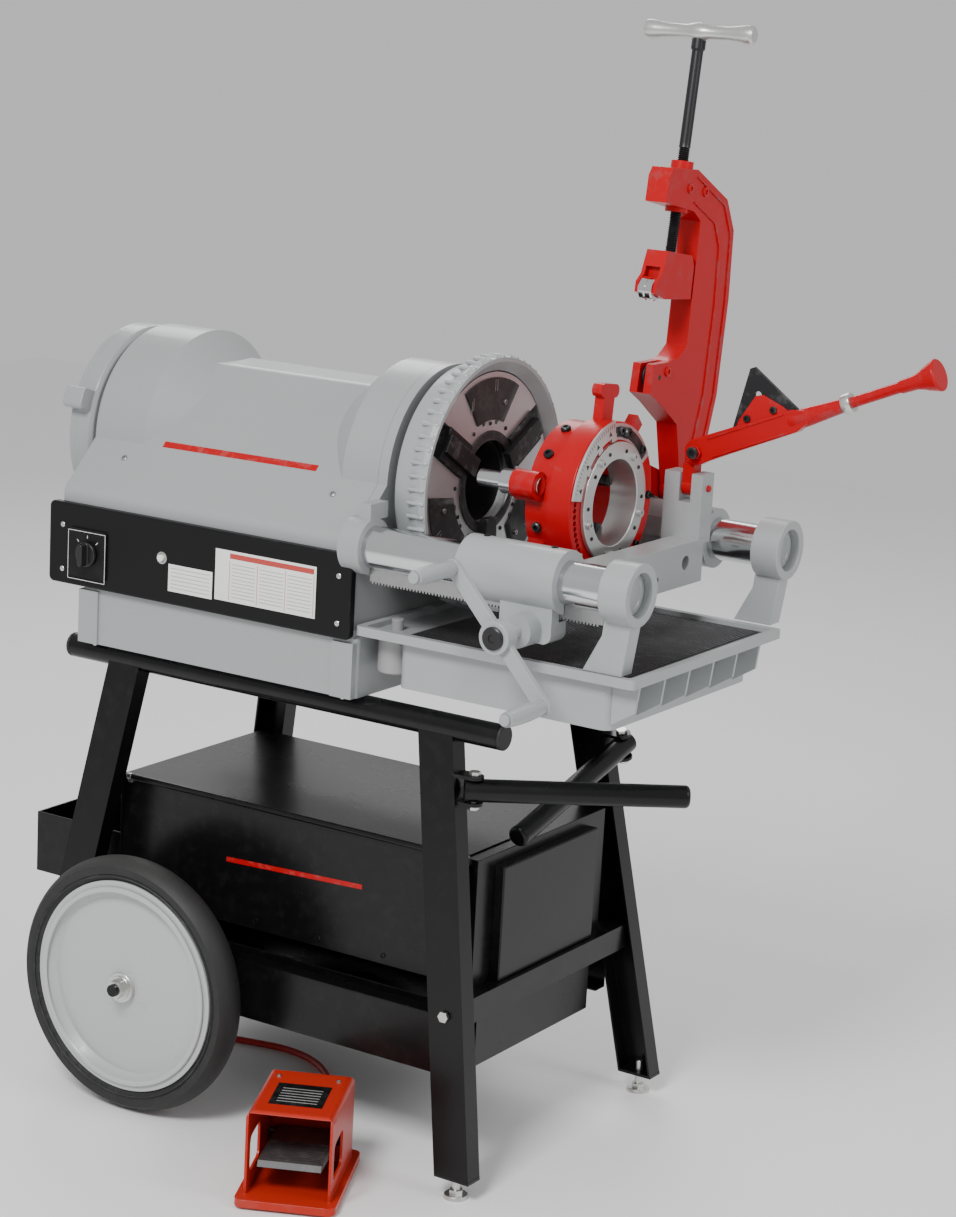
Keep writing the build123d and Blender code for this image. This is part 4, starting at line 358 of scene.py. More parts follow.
ALUMINIUM = Finish("cast_aluminium", (0.62, 0.62, 0.61), worn=(0.45, 0.45, 0.44), roughness=0.30,
                   metallic=0.85, wear=0.3, dust=0.03, bump=0.3, depth=0.0005, stretch=1.2)
KNOB = Finish("black_plastic", (0.010, 0.010, 0.011), worn=(0.05, 0.05, 0.05), roughness=0.35, wear=0.3,
              dust=0.03, bump=0.08, stretch=1.8)
BUTTON = Finish("white_plastic", (0.78, 0.78, 0.74), worn=(0.6, 0.6, 0.56), roughness=0.30, wear=0.2,
                dust=0.05, bump=0.05)
PLATE = Finish("label_plate", (0.80, 0.80, 0.78), worn=(0.6, 0.6, 0.6), roughness=0.40, wear=0.15,
               dust=0.05, bump=0.04)
LINES = Finish("plate_lines", (0.45, 0.05, 0.04), worn=(0.5, 0.3, 0.3), roughness=0.40, wear=0.1, dust=0.05,
               bump=0.04)
STRIPE = Finish("stripe_red", (0.42, 0.001, 0.003), worn=(0.4, 0.3, 0.3), roughness=0.32, wear=0.15,
                dust=0.01, bump=0.05, specular=0.25)
PUMP = Finish("pump_grey", (0.30, 0.30, 0.30), roughness=0.42, wear=0.4, dust=0.1, bump=0.15)
WIRE = Finish("screen_wire", (0.10, 0.10, 0.105), worn=(0.3, 0.3, 0.3), roughness=0.42, metallic=0.8,
              wear=0.3, dust=0.05, bump=0.1)
TREADLE = Finish("treadle_dark_finish", (0.035, 0.033, 0.034), worn=(0.12, 0.11, 0.11), roughness=0.42,
                 wear=0.5, dust=0.1, bump=0.2)
CORD = Finish("cord_red_finish", (0.42, 0.012, 0.010), worn=(0.3, 0.1, 0.1), roughness=0.45, wear=0.1,
              dust=0.05, bump=0.2, stretch=1.6)
# Dark steel of the chuck's bore ring and slot covers; the same dark also serves as painted shade in the die
# head's cam slot.
DARK_RING_AND_CAM_SLOT_SHADE = Finish("ring_dark_and_cam_slot_shade", (0.05, 0.05, 0.052), worn=(0.22, 0.22, 0.22), roughness=0.34, metallic=0.7,
                   wear=0.5, dust=0.02, bump=0.15)
BOLT_BLACK = Finish("bolt_black", (0.02, 0.02, 0.021), worn=(0.2, 0.2, 0.2), roughness=0.38, metallic=0.6,
                    wear=0.5, dust=0.02, bump=0.1)
FLOOR = Finish("pale_floor", (0.90, 0.90, 0.90), worn=(0.86, 0.86, 0.86), roughness=0.55, wear=0.0,
               dust=0.0, drift=0.01, bump=0.02, stretch=0.1)


# ---------------------------------------------------------------- workshop: shared ways of making a piece
class Workshop:
    """Makes pieces, dresses them and hands them to the frame."""

    def __init__(self, frame: dict) -> None:
        """Keeps the frame and builds the shared groups.
        """
        self.frame = frame
        self.groups = SurfaceGroups()
        self.home: dict[str, str] = {}
        for body, nodes in frame["record"]["behaviour"]["bodies"].items():
            for node in nodes:
                self.home[node] = body
        self.line_tree = self._line_tree()
        self.ring_tree = self._ring_tree()

    def piece(self, name: str, mesh: bpy.types.Mesh, finish: Finish) -> bpy.types.Object:
        """Puts a mesh in the scene as a named piece with its finish.

        Args:
            name: the piece's name.
            mesh: its mesh, already in place.
            finish: its finish.

        Returns:
            The new object at the origin.
        """
        mesh.materials.clear()
        mesh.materials.append(finish.material(self.groups))
        piece = bpy.data.objects.new(name, mesh)
        bpy.context.scene.collection.objects.link(piece)
        return piece

    def settle(self, piece: bpy.types.Object, body: str, slot: str, *replaced: str) -> bpy.types.Object:
        """Lets a finished piece ride on a body and hides the CAD nodes it stands for.

        Args:
            piece: the finished piece.
            body: the CAD body it moves with.
            slot: the record's material slot; not used.
            replaced: CAD nodes that it hides.

        Returns:
            The same piece.
        """
        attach(piece, body)
        if replaced:
            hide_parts(*replaced)
        faces = len(piece.data.polygons) if piece.type == "MESH" else 0
        log.info("piece %s on %s: %d faces", piece.name, body, faces)
        return piece

    def refine(self, node: str, finish: Finish, slot: str, width: float = 0.001,
               segments: int = 2) -> bpy.types.Object:
        """Makes a clean copy of a CAD node with eased edges and smooth round faces.

        Args:
            node: the CAD node.
            finish: its finish.
            slot: the record's material slot.
            width: how far each sharp edge is eased, in metres.
            segments: steps in each eased edge.

        Returns:
            The piece that stands for the node.
        """
        source = self.frame["nodes"][node]
        mesh = source.data.copy()
        tidy = bmesh.new()
        tidy.from_mesh(mesh)
        bmesh.ops.remove_doubles(tidy, verts=tidy.verts, dist=0.00002)
        bmesh.ops.dissolve_limit(tidy, angle_limit=math.radians(0.6), verts=tidy.verts, edges=tidy.edges)
        for face in tidy.faces:
            face.smooth = True
        tidy.to_mesh(mesh)
        tidy.free()
        piece = self.piece("fine_" + node, mesh, finish)
        if width > 0:
            ease = piece.modifiers.new("eased", "BEVEL")
            ease.width = width
            ease.segments = segments
            ease.limit_method = "ANGLE"
            ease.angle_limit = math.radians(32)
            ease.use_clamp_overlap = True
            ease.harden_normals = False
        mesh.set_sharp_from_angle(angle=math.radians(32))
        weighted = piece.modifiers.new("even", "WEIGHTED_NORMAL")
        weighted.keep_sharp = True
        return self.settle(piece, self.home[node], slot, node)

    # ------------------------------------------------------------ repeats by Geometry Nodes
    def _tree(self, name: str, sockets: list[tuple[str, str]]) -> bpy.types.NodeTree:
        """Starts a Geometry Nodes tree with named inputs.

        Args:
            name: the tree's name.
            sockets: name and type of each input.

        Returns:
            The tree, with its geometry output.
        """
        tree = bpy.data.node_groups.new(name, "GeometryNodeTree")
        tree.interface.new_socket(name="Geometry", in_out="OUTPUT", socket_type="NodeSocketGeometry")
        for label, kind in sockets:
            tree.interface.new_socket(name=label, in_out="INPUT", socket_type=kind)
        return tree

    def _finish_tree(self, tree: bpy.types.NodeTree, inlet: bpy.types.Node,
                     placed: bpy.types.NodeSocket) -> None:
        """Ends a tree in Realize Instances and Set Material.

        Args:
            tree: the tree.
            inlet: its group input.
            placed: the instances' socket.
        """
        real = set_node(tree, "GeometryNodeRealizeInstances")
        dress = set_node(tree, "GeometryNodeSetMaterial")
        outlet = set_node(tree, "NodeGroupOutput")
        tree.links.new(placed, real.inputs["Geometry"])
        tree.links.new(real.outputs["Geometry"], dress.inputs["Geometry"])
        tree.links.new(inlet.outputs["Finish"], dress.inputs["Material"])
        tree.links.new(dress.outputs["Geometry"], outlet.inputs["Geometry"])

    def _line_tree(self) -> bpy.types.NodeTree:
        """Builds the tree that sets copies of a stamp at even steps along a line.

        Returns:
            The tree.
        """
        tree = self._tree("row_of_stamps", [("Stamp", "NodeSocketObject"), ("Count", "NodeSocketInt"),
                                            ("Start", "NodeSocketVector"), ("Step", "NodeSocketVector"),
                                            ("Finish", "NodeSocketMaterial")])
        inlet = set_node(tree, "NodeGroupInput")
        line = set_node(tree, "GeometryNodeMeshLine",
                        {"Count": inlet.outputs["Count"], "Start Location": inlet.outputs["Start"],
                         "Offset": inlet.outputs["Step"]},
                        mode="OFFSET")
        stamp = set_node(tree, "GeometryNodeObjectInfo", {"Object": inlet.outputs["Stamp"]})
        copies = set_node(tree, "GeometryNodeInstanceOnPoints",
                          {"Points": line.outputs["Mesh"], "Instance": stamp.outputs["Geometry"]})
        self._finish_tree(tree, inlet, copies.outputs["Instances"])
        return tree

    def _ring_tree(self) -> bpy.types.NodeTree:
        """Builds the tree that sets turned copies of a stamp round a circle about local X.

        Returns:
            The tree.
        """
        tree = self._tree("ring_of_stamps", [("Stamp", "NodeSocketObject"), ("Count", "NodeSocketInt"),
                                             ("Turn", "NodeSocketFloat"), ("First", "NodeSocketFloat"),
                                             ("Centre", "NodeSocketVector"), ("Axis Turn",
                                                                              "NodeSocketVector"),
                                             ("Finish", "NodeSocketMaterial")])
        inlet = set_node(tree, "NodeGroupInput")
        line = set_node(tree, "GeometryNodeMeshLine",
                        {"Offset": (0, 0, 0), "Count": inlet.outputs["Count"]}, mode="OFFSET")
        index = set_node(tree, "GeometryNodeInputIndex")
        angle = set_node(tree, "ShaderNodeMath",
                         {0: index.outputs["Index"], 1: inlet.outputs["Turn"], 2: inlet.outputs["First"]},
                         operation="MULTIPLY_ADD")
        spin = set_node(tree, "ShaderNodeCombineXYZ", {"X": angle.outputs[0]})
        stamp = set_node(tree, "GeometryNodeObjectInfo", {"Object": inlet.outputs["Stamp"]})
        copies = set_node(tree, "GeometryNodeInstanceOnPoints",
                          {"Points": line.outputs["Mesh"], "Instance": stamp.outputs["Geometry"],
                           "Rotation": spin.outputs["Vector"]})
        move = set_node(tree, "GeometryNodeTransform",
                        {"Geometry": copies.outputs["Instances"], "Translation": inlet.outputs["Centre"],
                         "Rotation": inlet.outputs["Axis Turn"]})
        self._finish_tree(tree, inlet, move.outputs["Geometry"])
        return tree

    def repeat(self, name: str, tree: bpy.types.NodeTree, stamp: bpy.types.Mesh, finish: Finish,
               **values: object) -> bpy.types.Object:
        """Runs a repeat tree on a stamp mesh and keeps the result as a plain piece.

        Args:
            name: the piece's name.
            tree: the repeat tree.
            stamp: the mesh that repeats.
            finish: the finish of every copy.
            values: the tree's inputs by name, with _ for a space.

        Returns:
            The plain piece.
        """
        pattern = bpy.data.objects.new(name + "_stamp", stamp)
        bpy.context.scene.collection.objects.link(pattern)
        carrier = bpy.data.objects.new(name + "_carrier", bpy.data.meshes.new(name + "_carrier"))
        bpy.context.scene.collection.objects.link(carrier)
        row = carrier.modifiers.new("repeat", "NODES")
        row.node_group = tree
        given = {key.replace("_", " "): value for key, value in values.items()}
        given["Stamp"] = pattern
        given["Finish"] = finish.material(self.groups)
        for item in tree.interface.items_tree:
            if item.item_type == "SOCKET" and item.in_out == "INPUT" and item.name in given:
                row[item.identifier] = given[item.name]
        bpy.context.view_layer.update()
        graph = bpy.context.evaluated_depsgraph_get()
        mesh = bpy.data.meshes.new_from_object(carrier.evaluated_get(graph))
        mesh.name = name
        carrier.modifiers.remove(row)
        bpy.data.objects.remove(carrier)
        bpy.data.objects.remove(pattern)
        mesh.set_sharp_from_angle(angle=math.radians(35))
        return self.piece(name, mesh, finish)


def finished(build: bmesh.types.BMesh, name: str, smooth: bool = True) -> bpy.types.Mesh:
    """Turns a bmesh into a mesh with outward faces.

    Args:
        build: the bmesh, which is freed.
        name: the mesh's name.
        smooth: True where round faces shade smoothly.

    Returns:
        The mesh.
    """
    bmesh.ops.remove_doubles(build, verts=build.verts, dist=0.000005)
    bmesh.ops.recalc_face_normals(build, faces=build.faces)
    for face in build.faces:
        face.smooth = smooth
    mesh = bpy.data.meshes.new(name)
    build.to_mesh(mesh)
    build.free()
    mesh.set_sharp_from_angle(angle=SMOOTH_BELOW)
    return mesh


def turned(profile: list[tuple[float, float]], origin: Vector, axis: Vector, name: str,
           steps: int = 48) -> bpy.types.Mesh:
    """Turns a profile round an axis, like work in a lathe.

    Args:
        profile: pairs of distance along the axis and radius, in metres,
        first and last on the axis to close it.
        origin: where distance 0 lies.
        axis: the axis direction.
        name: the mesh's name.
        steps: sides round the axis.

    Returns:
        The turned mesh.
    """
    way = axis.normalized()
    side = way.orthogonal().normalized()
    other = way.cross(side)
    build = bmesh.new()
    rings: list[list[bmesh.types.BMVert]] = []
    for along, radius in profile:
        if radius < 1e-7:
            rings.append([build.verts.new(origin + way * along)])
            continue
        ring = []
        for step in range(steps):
            angle = 2 * math.pi * step / steps
            across = side * (radius * math.cos(angle))
            ring.append(build.verts.new(origin + way * along + across + other * (radius * math.sin(angle))))
        rings.append(ring)
    for one, two in zip(rings, rings[1:]):
        for step in range(steps):
            follow = (step + 1) % steps
            if len(one) == 1 and len(two) == 1:
                continue
            if len(one) == 1:
                build.faces.new((one[0], two[follow], two[step]))
            elif len(two) == 1:
                build.faces.new((one[step], one[follow], two[0]))
            else:
                build.faces.new((one[step], one[follow], two[follow], two[step]))
    return finished(build, name)


def slab(corners: list[Vector], thickness: Vector, name: str, ease: float = 0.0) -> bpy.types.Mesh:
    """Makes a flat plate from its outline.

    Args:
        corners: the outline, in order.
        thickness: from the outline's face to the other face.
        name: the mesh's name.
        ease: width of the eased edges.

    Returns:
        The plate's mesh.
    """
    build = bmesh.new()
    low = [build.verts.new(c) for c in corners]
    high = [build.verts.new(c + thickness) for c in corners]
    build.faces.new(low)
    build.faces.new(high)
    for step in range(len(corners)):
        follow = (step + 1) % len(corners)
        build.faces.new((low[step], low[follow], high[follow], high[step]))
    if ease > 0:
        bmesh.ops.bevel(build, geom=list(build.edges), offset=ease, segments=2, affect="EDGES", profile=0.6)
    return finished(build, name)


def brick(centre: Vector, size: Vector, name: str, ease: float = 0.0) -> bpy.types.Mesh:
    """Makes a rectangular bar with eased edges.

    Args:
        centre: its middle.
        size: its full lengths.
        name: the mesh's name.
        ease: width of the eased edges.

    Returns:
        The bar's mesh.
    """
    half = size / 2
    corners = [centre + Vector((sx * half.x, sy * half.y, -half.z)) for sx,
               sy in ((-1, -1), (1, -1), (1, 1), (-1, 1))]
    return slab(corners, Vector((0, 0, size.z)), name, ease)


def joined(meshes: list[bpy.types.Mesh], name: str) -> bpy.types.Mesh:
    """Joins several meshes into one.

    Args:
        meshes: the meshes, which are removed.
        name: the new mesh's name.

    Returns:
        The joined mesh.
    """
    build = bmesh.new()
    for mesh in meshes:
        build.from_mesh(mesh)
        bpy.data.meshes.remove(mesh)
    for face in build.faces:
        face.smooth = True
    mesh = bpy.data.meshes.new(name)
    build.to_mesh(mesh)
    build.free()
    mesh.set_sharp_from_angle(angle=SMOOTH_BELOW)
    return mesh


def cap_screw(axis: Vector, radius: float, height: float, name: str,
              spot: Vector | None = None) -> bpy.types.Mesh:
    """Makes a round screw head with a socket, standing on a spot.

    Args:
        axis: outward direction.
        radius: head radius in metres.
        height: head height in metres.
        name: the mesh's name.
        spot: where its underside sits; the origin if not given.

    Returns:
        The head's mesh.
    """
    profile = [(-0.0006, 0), (-0.0006, radius), (height * 0.75, radius), (height, radius * 0.82),
               (height, radius * 0.48), (height * 0.4, radius * 0.42), (height * 0.4, 0)]
    return turned(profile, spot or Vector(), axis, name, 20)


def arc_points(centre: Vector, radius: float, first: float, last: float, steps: int) -> list[Vector]:
    """Points on a circle across the spindle axis, angles in degrees from +Y towards +Z."""
    turns = [math.radians(first + (last - first) * step / steps) for step in range(steps + 1)]
    return [centre + Vector((0, radius * math.cos(a), radius * math.sin(a))) for a in turns]


# ---------------------------------------------------------------- sub-assemblies
@dataclass
class Refined:
    """One CAD node and how its clean copy is finished."""

    node: str
    slot: str
    finish: Finish
    width: float = 0.001


@dataclass
class Assembly:
    """A group of nodes and details that belong together."""

    shop: Workshop
    refined: list[Refined] = field(default_factory=list)

    def build(self) -> None:
        """Makes the refined nodes and then the details."""
        for part in self.refined:
            self.shop.refine(part.node, part.finish, part.slot, part.width)
        self.details()

    def details(self) -> None:
        """Adds what the nodes lack; an assembly with nothing to add leaves it."""

    def add(self, name: str, mesh: bpy.types.Mesh, finish: Finish, body: str, slot: str,
            *replaced: str) -> None:
        """Makes a mesh a piece and settles it on its body.

        Args:
            name: the piece's name.
            mesh: its mesh, already in place.
            finish: its finish.
            body: the CAD body it moves with.
            slot: the record's material slot.
            replaced: CAD nodes that it hides.
        """
        self.shop.settle(self.shop.piece(name, mesh, finish), body, slot, *replaced)

    def row(self, name: str, stamp: bpy.types.Mesh, finish: Finish, body: str, slot: str, count: int,
            start: Vector, step: Vector) -> None:
        """Settles a row of copies at even steps.

        Args:
            name: the piece's name.
            stamp: the mesh that repeats.
            finish: its finish.
            body: the CAD body it moves with.
            slot: the record's material slot.
            count: how many copies.
            start: where the first stands.
            step: from each copy to the next.
        """
        made = self.shop.repeat(name, self.shop.line_tree, stamp, finish, Count=count, Start=start, Step=step)
        self.shop.settle(made, body, slot)

    def ring(self, name: str, stamp: bpy.types.Mesh, finish: Finish, body: str, slot: str, count: int,
             turn: float, first: float, centre: Vector, axis_turn: Vector | None = None) -> None:
        """Settles a ring of copies about an axis along X.

        Args:
            name: the piece's name.
            stamp: the mesh that repeats.
            finish: its finish.
            body: the CAD body it moves with.
            slot: the record's material slot.
            count: how many copies.
            turn: degrees from each copy to the next.
            first: degrees of the first copy.
            centre: the ring's centre.
            axis_turn: turns of the whole ring, in radians, where its axis isn't X.
        """
        made = self.shop.repeat(name, self.shop.ring_tree, stamp, finish, Count=count,
                                Turn=math.radians(turn),
                                First=math.radians(first), Centre=centre, Axis_Turn=axis_turn or Vector())
        self.shop.settle(made, body, slot)


@dataclass
class Stand(Assembly):
    """Tubes, legs, cabinet, bin, tray, wheels, handles and feet."""

    panel_face: float = -185
    rivet_pitch: float = 0.12
    axle_along: float = -381
    axle_height: float = 203.2
    disc_face: float = 338
    hub_face: float = 340
    bead_radii: tuple[float, float] = (0.176, 0.1905)
    refined: list[Refined] = field(default_factory=lambda: [
        Refined("top_tubes", "black_steel", BLACK_PAINT, 0.0008),
        Refined("tube_caps", "rubber_black", CAP_RUBBER, 0.001),
        Refined("legs", "black_steel", BLACK_PAINT, 0.0015),
        Refined("stand_beams", "black_steel", BLACK_PAINT, 0.001),
        Refined("stand_fasteners", "zinc", ZINC, 0.0004),
        Refined("near_levelling_foot", "zinc", ZINC, 0.0005),
        Refined("far_levelling_foot", "zinc", ZINC, 0.0005),
        Refined("cabinet", "black_steel", BLACK_PAINT, 0.0008),
        Refined("cabinet_lid", "black_steel", BLACK_PAINT, 0.0008),
        Refined("tool_bin", "black_steel", BLACK_PAINT, 0.0008),
        Refined("lower_tray", "black_steel", BLACK_PAINT, 0.0008),
        Refined("near_tyre", "tyre_rubber", TYRE, 0.0),
        Refined("far_tyre", "tyre_rubber", TYRE, 0.0),
        Refined("near_wheel_disc", "grey_disc", DISC_PAINT, 0.001),
        Refined("far_wheel_disc", "grey_disc", DISC_PAINT, 0.001),
        Refined("near_handle", "black_steel", BLACK_PAINT, 0.0015),
        Refined("far_handle", "black_steel", BLACK_PAINT, 0.0015),
    ])

    def details(self) -> None:
        """Adds the cabinet stripe, rivets, wheel rims, hub rings and tyre beads."""
        stripe = slab([at(-301, self.panel_face, 388), at(-44, self.panel_face, 399),
                       at(-44, self.panel_face, 406.5), at(-301, self.panel_face, 396)],
                      Vector((0, -0.0004, 0)), "cabinet_stripe")
        self.add("cabinet_stripe", stripe, STRIPE, "machine_frame", "tool_red")
        rivet = cap_screw(NEARWARD, 0.004, 0.0018, "rivet")
        self.row("cabinet_rivets", rivet, BLACK_PAINT, "machine_frame", "black_steel", 6,
                 at(-480, self.panel_face, 304), FORWARD * self.rivet_pitch)
        for side, body in ((-1, "near_wheel"), (1, "far_wheel")):
            self._wheel(side, body)

    def _wheel(self, side: int, body: str) -> None:
        """Dresses one wheel: rim roll, hub ring and the beads of its tyre.

        Args:
            side: -1 for the operator's wheel, 1 for the far one.
            body: the body it turns with.
        """
        out = Vector((0, side, 0))
        centre = at(self.axle_along, side * self.disc_face, self.axle_height)
        roll = [(0.0, 0.150), (0.0014, 0.1512), (0.0022, 0.1545), (0.0014, 0.1578), (0.0, 0.159),
                (-0.002, 0.1545), (0.0, 0.150)]
        rim = turned(roll, centre - out * 0.0008, out, body + "_rim", 96)
        self.add(body + "_rim", rim, DISC_PAINT, body, "grey_disc")
        for number, radius in enumerate(self.bead_radii):
            bead = [(0.0, radius - 0.0012), (0.0009, radius), (0.0, radius + 0.0012), (-0.002, radius),
                    (0.0, radius - 0.0012)]
            drop = 0.0004 if number == 0 else 0.0016
            line = turned(bead, centre - out * drop, out, f"{body}_bead_{number}", 96)
            self.add(f"{body}_bead_{number}", line, TYRE, body, "tyre_rubber")
        cap = turned([(0, 0.0165), (0.0012, 0.0180), (0.0012, 0.0235), (0, 0.0245), (-0.001, 0.020),
                      (0, 0.0165)],
                     at(self.axle_along, side * self.hub_face, self.axle_height), out, body + "_hub_ring", 48)
        self.add(body + "_hub_ring", cap, ZINC, body, "zinc")


@dataclass
class Head(Assembly):
    """Base, cover, headstock, controls and the rear centring ring."""

    band_face: float = -254
    label_face: float = -254.55
    selector_face: float = -257.3
    column_pitch: float = 51.7
    screw_height: float = 0.0022
    refined: list[Refined] = field(default_factory=lambda: [
        Refined("base_casting", "machine_grey", CASTING, 0.002),
        Refined("housing_cover", "machine_grey", CASTING, 0.0025),
        Refined("headstock", "machine_grey", CASTING, 0.002),
        Refined("control_band", "band_black", BAND_PAINT, 0.0015),
        Refined("selector_knob", "knob_black", KNOB, 0.001),
        Refined("reset_button", "button_white", BUTTON, 0.001),
        Refined("motor", "pump_dark", PUMP, 0.001),
        Refined("motor_pinion", "gear_steel", MACHINED, 0.0003),
        Refined("spindle_bearings", "gear_steel", MACHINED, 0.0005),
        Refined("spindle", "gear_steel", MACHINED, 0.0005),
        Refined("rear_ring", "machine_grey", CASTING, 0.0015),
    ])

    def plate(self, name: str, x0: float, x1: float, z0: float, z1: float, y: float, finish: Finish,
              thick: float = 0.5) -> None:
        """Adds a thin plate on the control band.

        Args:
            name: the piece's name.
            x0: left edge, millimetres.
            x1: right edge.
            z0: lower edge.
            z1: upper edge.
            y: face that it lies on.
            finish: its finish.
            thick: how far it stands out.
        """
        mesh = slab([at(x0, y, z0), at(x1, y, z0), at(x1, y, z1), at(x0, y, z1)],
                    Vector((0, -thick / 1000, 0)), name, 0.0001)
        self.add(name, mesh, finish, "machine_frame", "band_black")

    def details(self) -> None:
        """Adds blank label plates, switch outline, stripe, screws and the rear ring's edge."""
        self.plate("wide_label", -289, -103, 820, 898, self.band_face, PLATE)
        self.plate("wide_label_head", -262, -107, 886, 894, -254.5, LINES, 0.15)
        self.plate("small_label", -378, -294, 818, 860, self.band_face, PLATE)
        rule = brick(Vector(), Vector((0.0008, 0.0003, 0.060)), "rule")
        self.row("label_columns", rule, LINES, "machine_frame", "band_black", 4,
                 at(-262, self.label_face, 853),
                 FORWARD * 0.0517)
        dash = brick(Vector(), Vector((0.044, 0.0003, 0.0009)), "dash")
        for column in range(3):
            self.row(f"label_rows_{column}", dash.copy(), PUMP, "machine_frame", "band_black", 10,
                     at(-236 + self.column_pitch * column, self.label_face, 828), Vector((0, 0, 0.0055)))
        short = brick(Vector(), Vector((0.074, 0.0003, 0.0009)), "short_rule")
        self.row("small_label_rows", short, PUMP, "machine_frame", "band_black", 6,
                 at(-336, self.label_face, 824), Vector((0, 0, 0.006)))
        self._switch_outline()
        self._stripe()
        self._screws()
        ring = turned([(0, 0.157), (0, 0.1652), (-0.010, 0.1652), (-0.010, 0.157), (0, 0.157)],
                      at(-644, 0, SPINDLE_HEIGHT), FORWARD, "ring_edge", 96)
        self.add("ring_edge", ring, CASTING, "rear_centring_ring", "machine_grey")

    def _switch_outline(self) -> None:
        """Adds the thin pale frame and tick marks of the selector plate."""
        face = self.selector_face
        bars = [(-574, -500, 884.5, 885.3), (-574, -500, 808, 808.8), (-574, -573.2, 808, 885.3),
                (-500.8, -500, 808, 885.3)]
        for number, (x0, x1, z0, z1) in enumerate(bars):
            self.plate(f"selector_frame_{number}", x0, x1, z0, z1, face, PLATE, 0.2)
        tick = brick(Vector((0, 0, 0.0265)), Vector((0.0003, 0.001, 0.005)), "tick")
        self.ring("selector_ticks", tick, PLATE, "machine_frame", "band_black", 3, 45, -45,
                  at(-535.5, face - 0.1, 851), Vector((0, 0, math.pi / 2)))
        bezel = turned([(0, 0.0062), (0, 0.0098), (0.0014, 0.0094), (0.0016, 0.0066), (0, 0.0062)],
                       at(-391, -253.8, 867), NEARWARD, "reset_bezel", 32)
        self.add("reset_bezel", bezel, ZINC, "machine_frame", "zinc")

    def _stripe(self) -> None:
        """Adds the red stripe on the cover's slope."""
        out = Vector((0, -195, 194)).normalized()

        def spot(x: float, share: float) -> Vector:
            """Point on the slope at a share of the way up."""
            return at(x, -242 + 194 * share, 945 + 195 * share) + out * 0.00002

        mesh = slab([spot(-464, 0.375), spot(-174, 0.385), spot(-174, 0.425), spot(-464, 0.415)],
                    out * 0.0004, "cover_stripe")
        self.add("cover_stripe", mesh, STRIPE, "machine_frame", "tool_red")

    def _screws(self) -> None:
        """Adds the screws of the band, the cover and the base."""
        for name, start, step, axis, radius in (
            ("band_screws_left", at(-587, self.band_face, 820), Vector((0, 0, 0.070)), NEARWARD, 0.0042),
            ("band_screws_right", at(-62.5, self.band_face, 820), Vector((0, 0, 0.071)), NEARWARD, 0.0042),
            ("cover_screws_near", at(-520, -191.6, 995.7), Vector((0.396, 0, 0)),
             Vector((0, -195, 194)).normalized(), 0.0048),
            ("cover_screws_far", at(-520, 191.6, 995.7), Vector((0.396, 0, 0)),
             Vector((0, 195, 194)).normalized(), 0.0048),
            ("base_screws_near", at(-538, -230, 706), Vector((0.474, 0, 0)), NEARWARD, 0.005),
            ("base_screws_far", at(-538, 230, 706), Vector((0.474, 0, 0)), Vector((0, 1, 0)), 0.005),
        ):
            head = cap_screw(axis, radius, self.screw_height, name + "_head")
            self.row(name, head, ZINC if "cover" not in name else MACHINED, "machine_frame", "zinc", 2,
                     start, step)


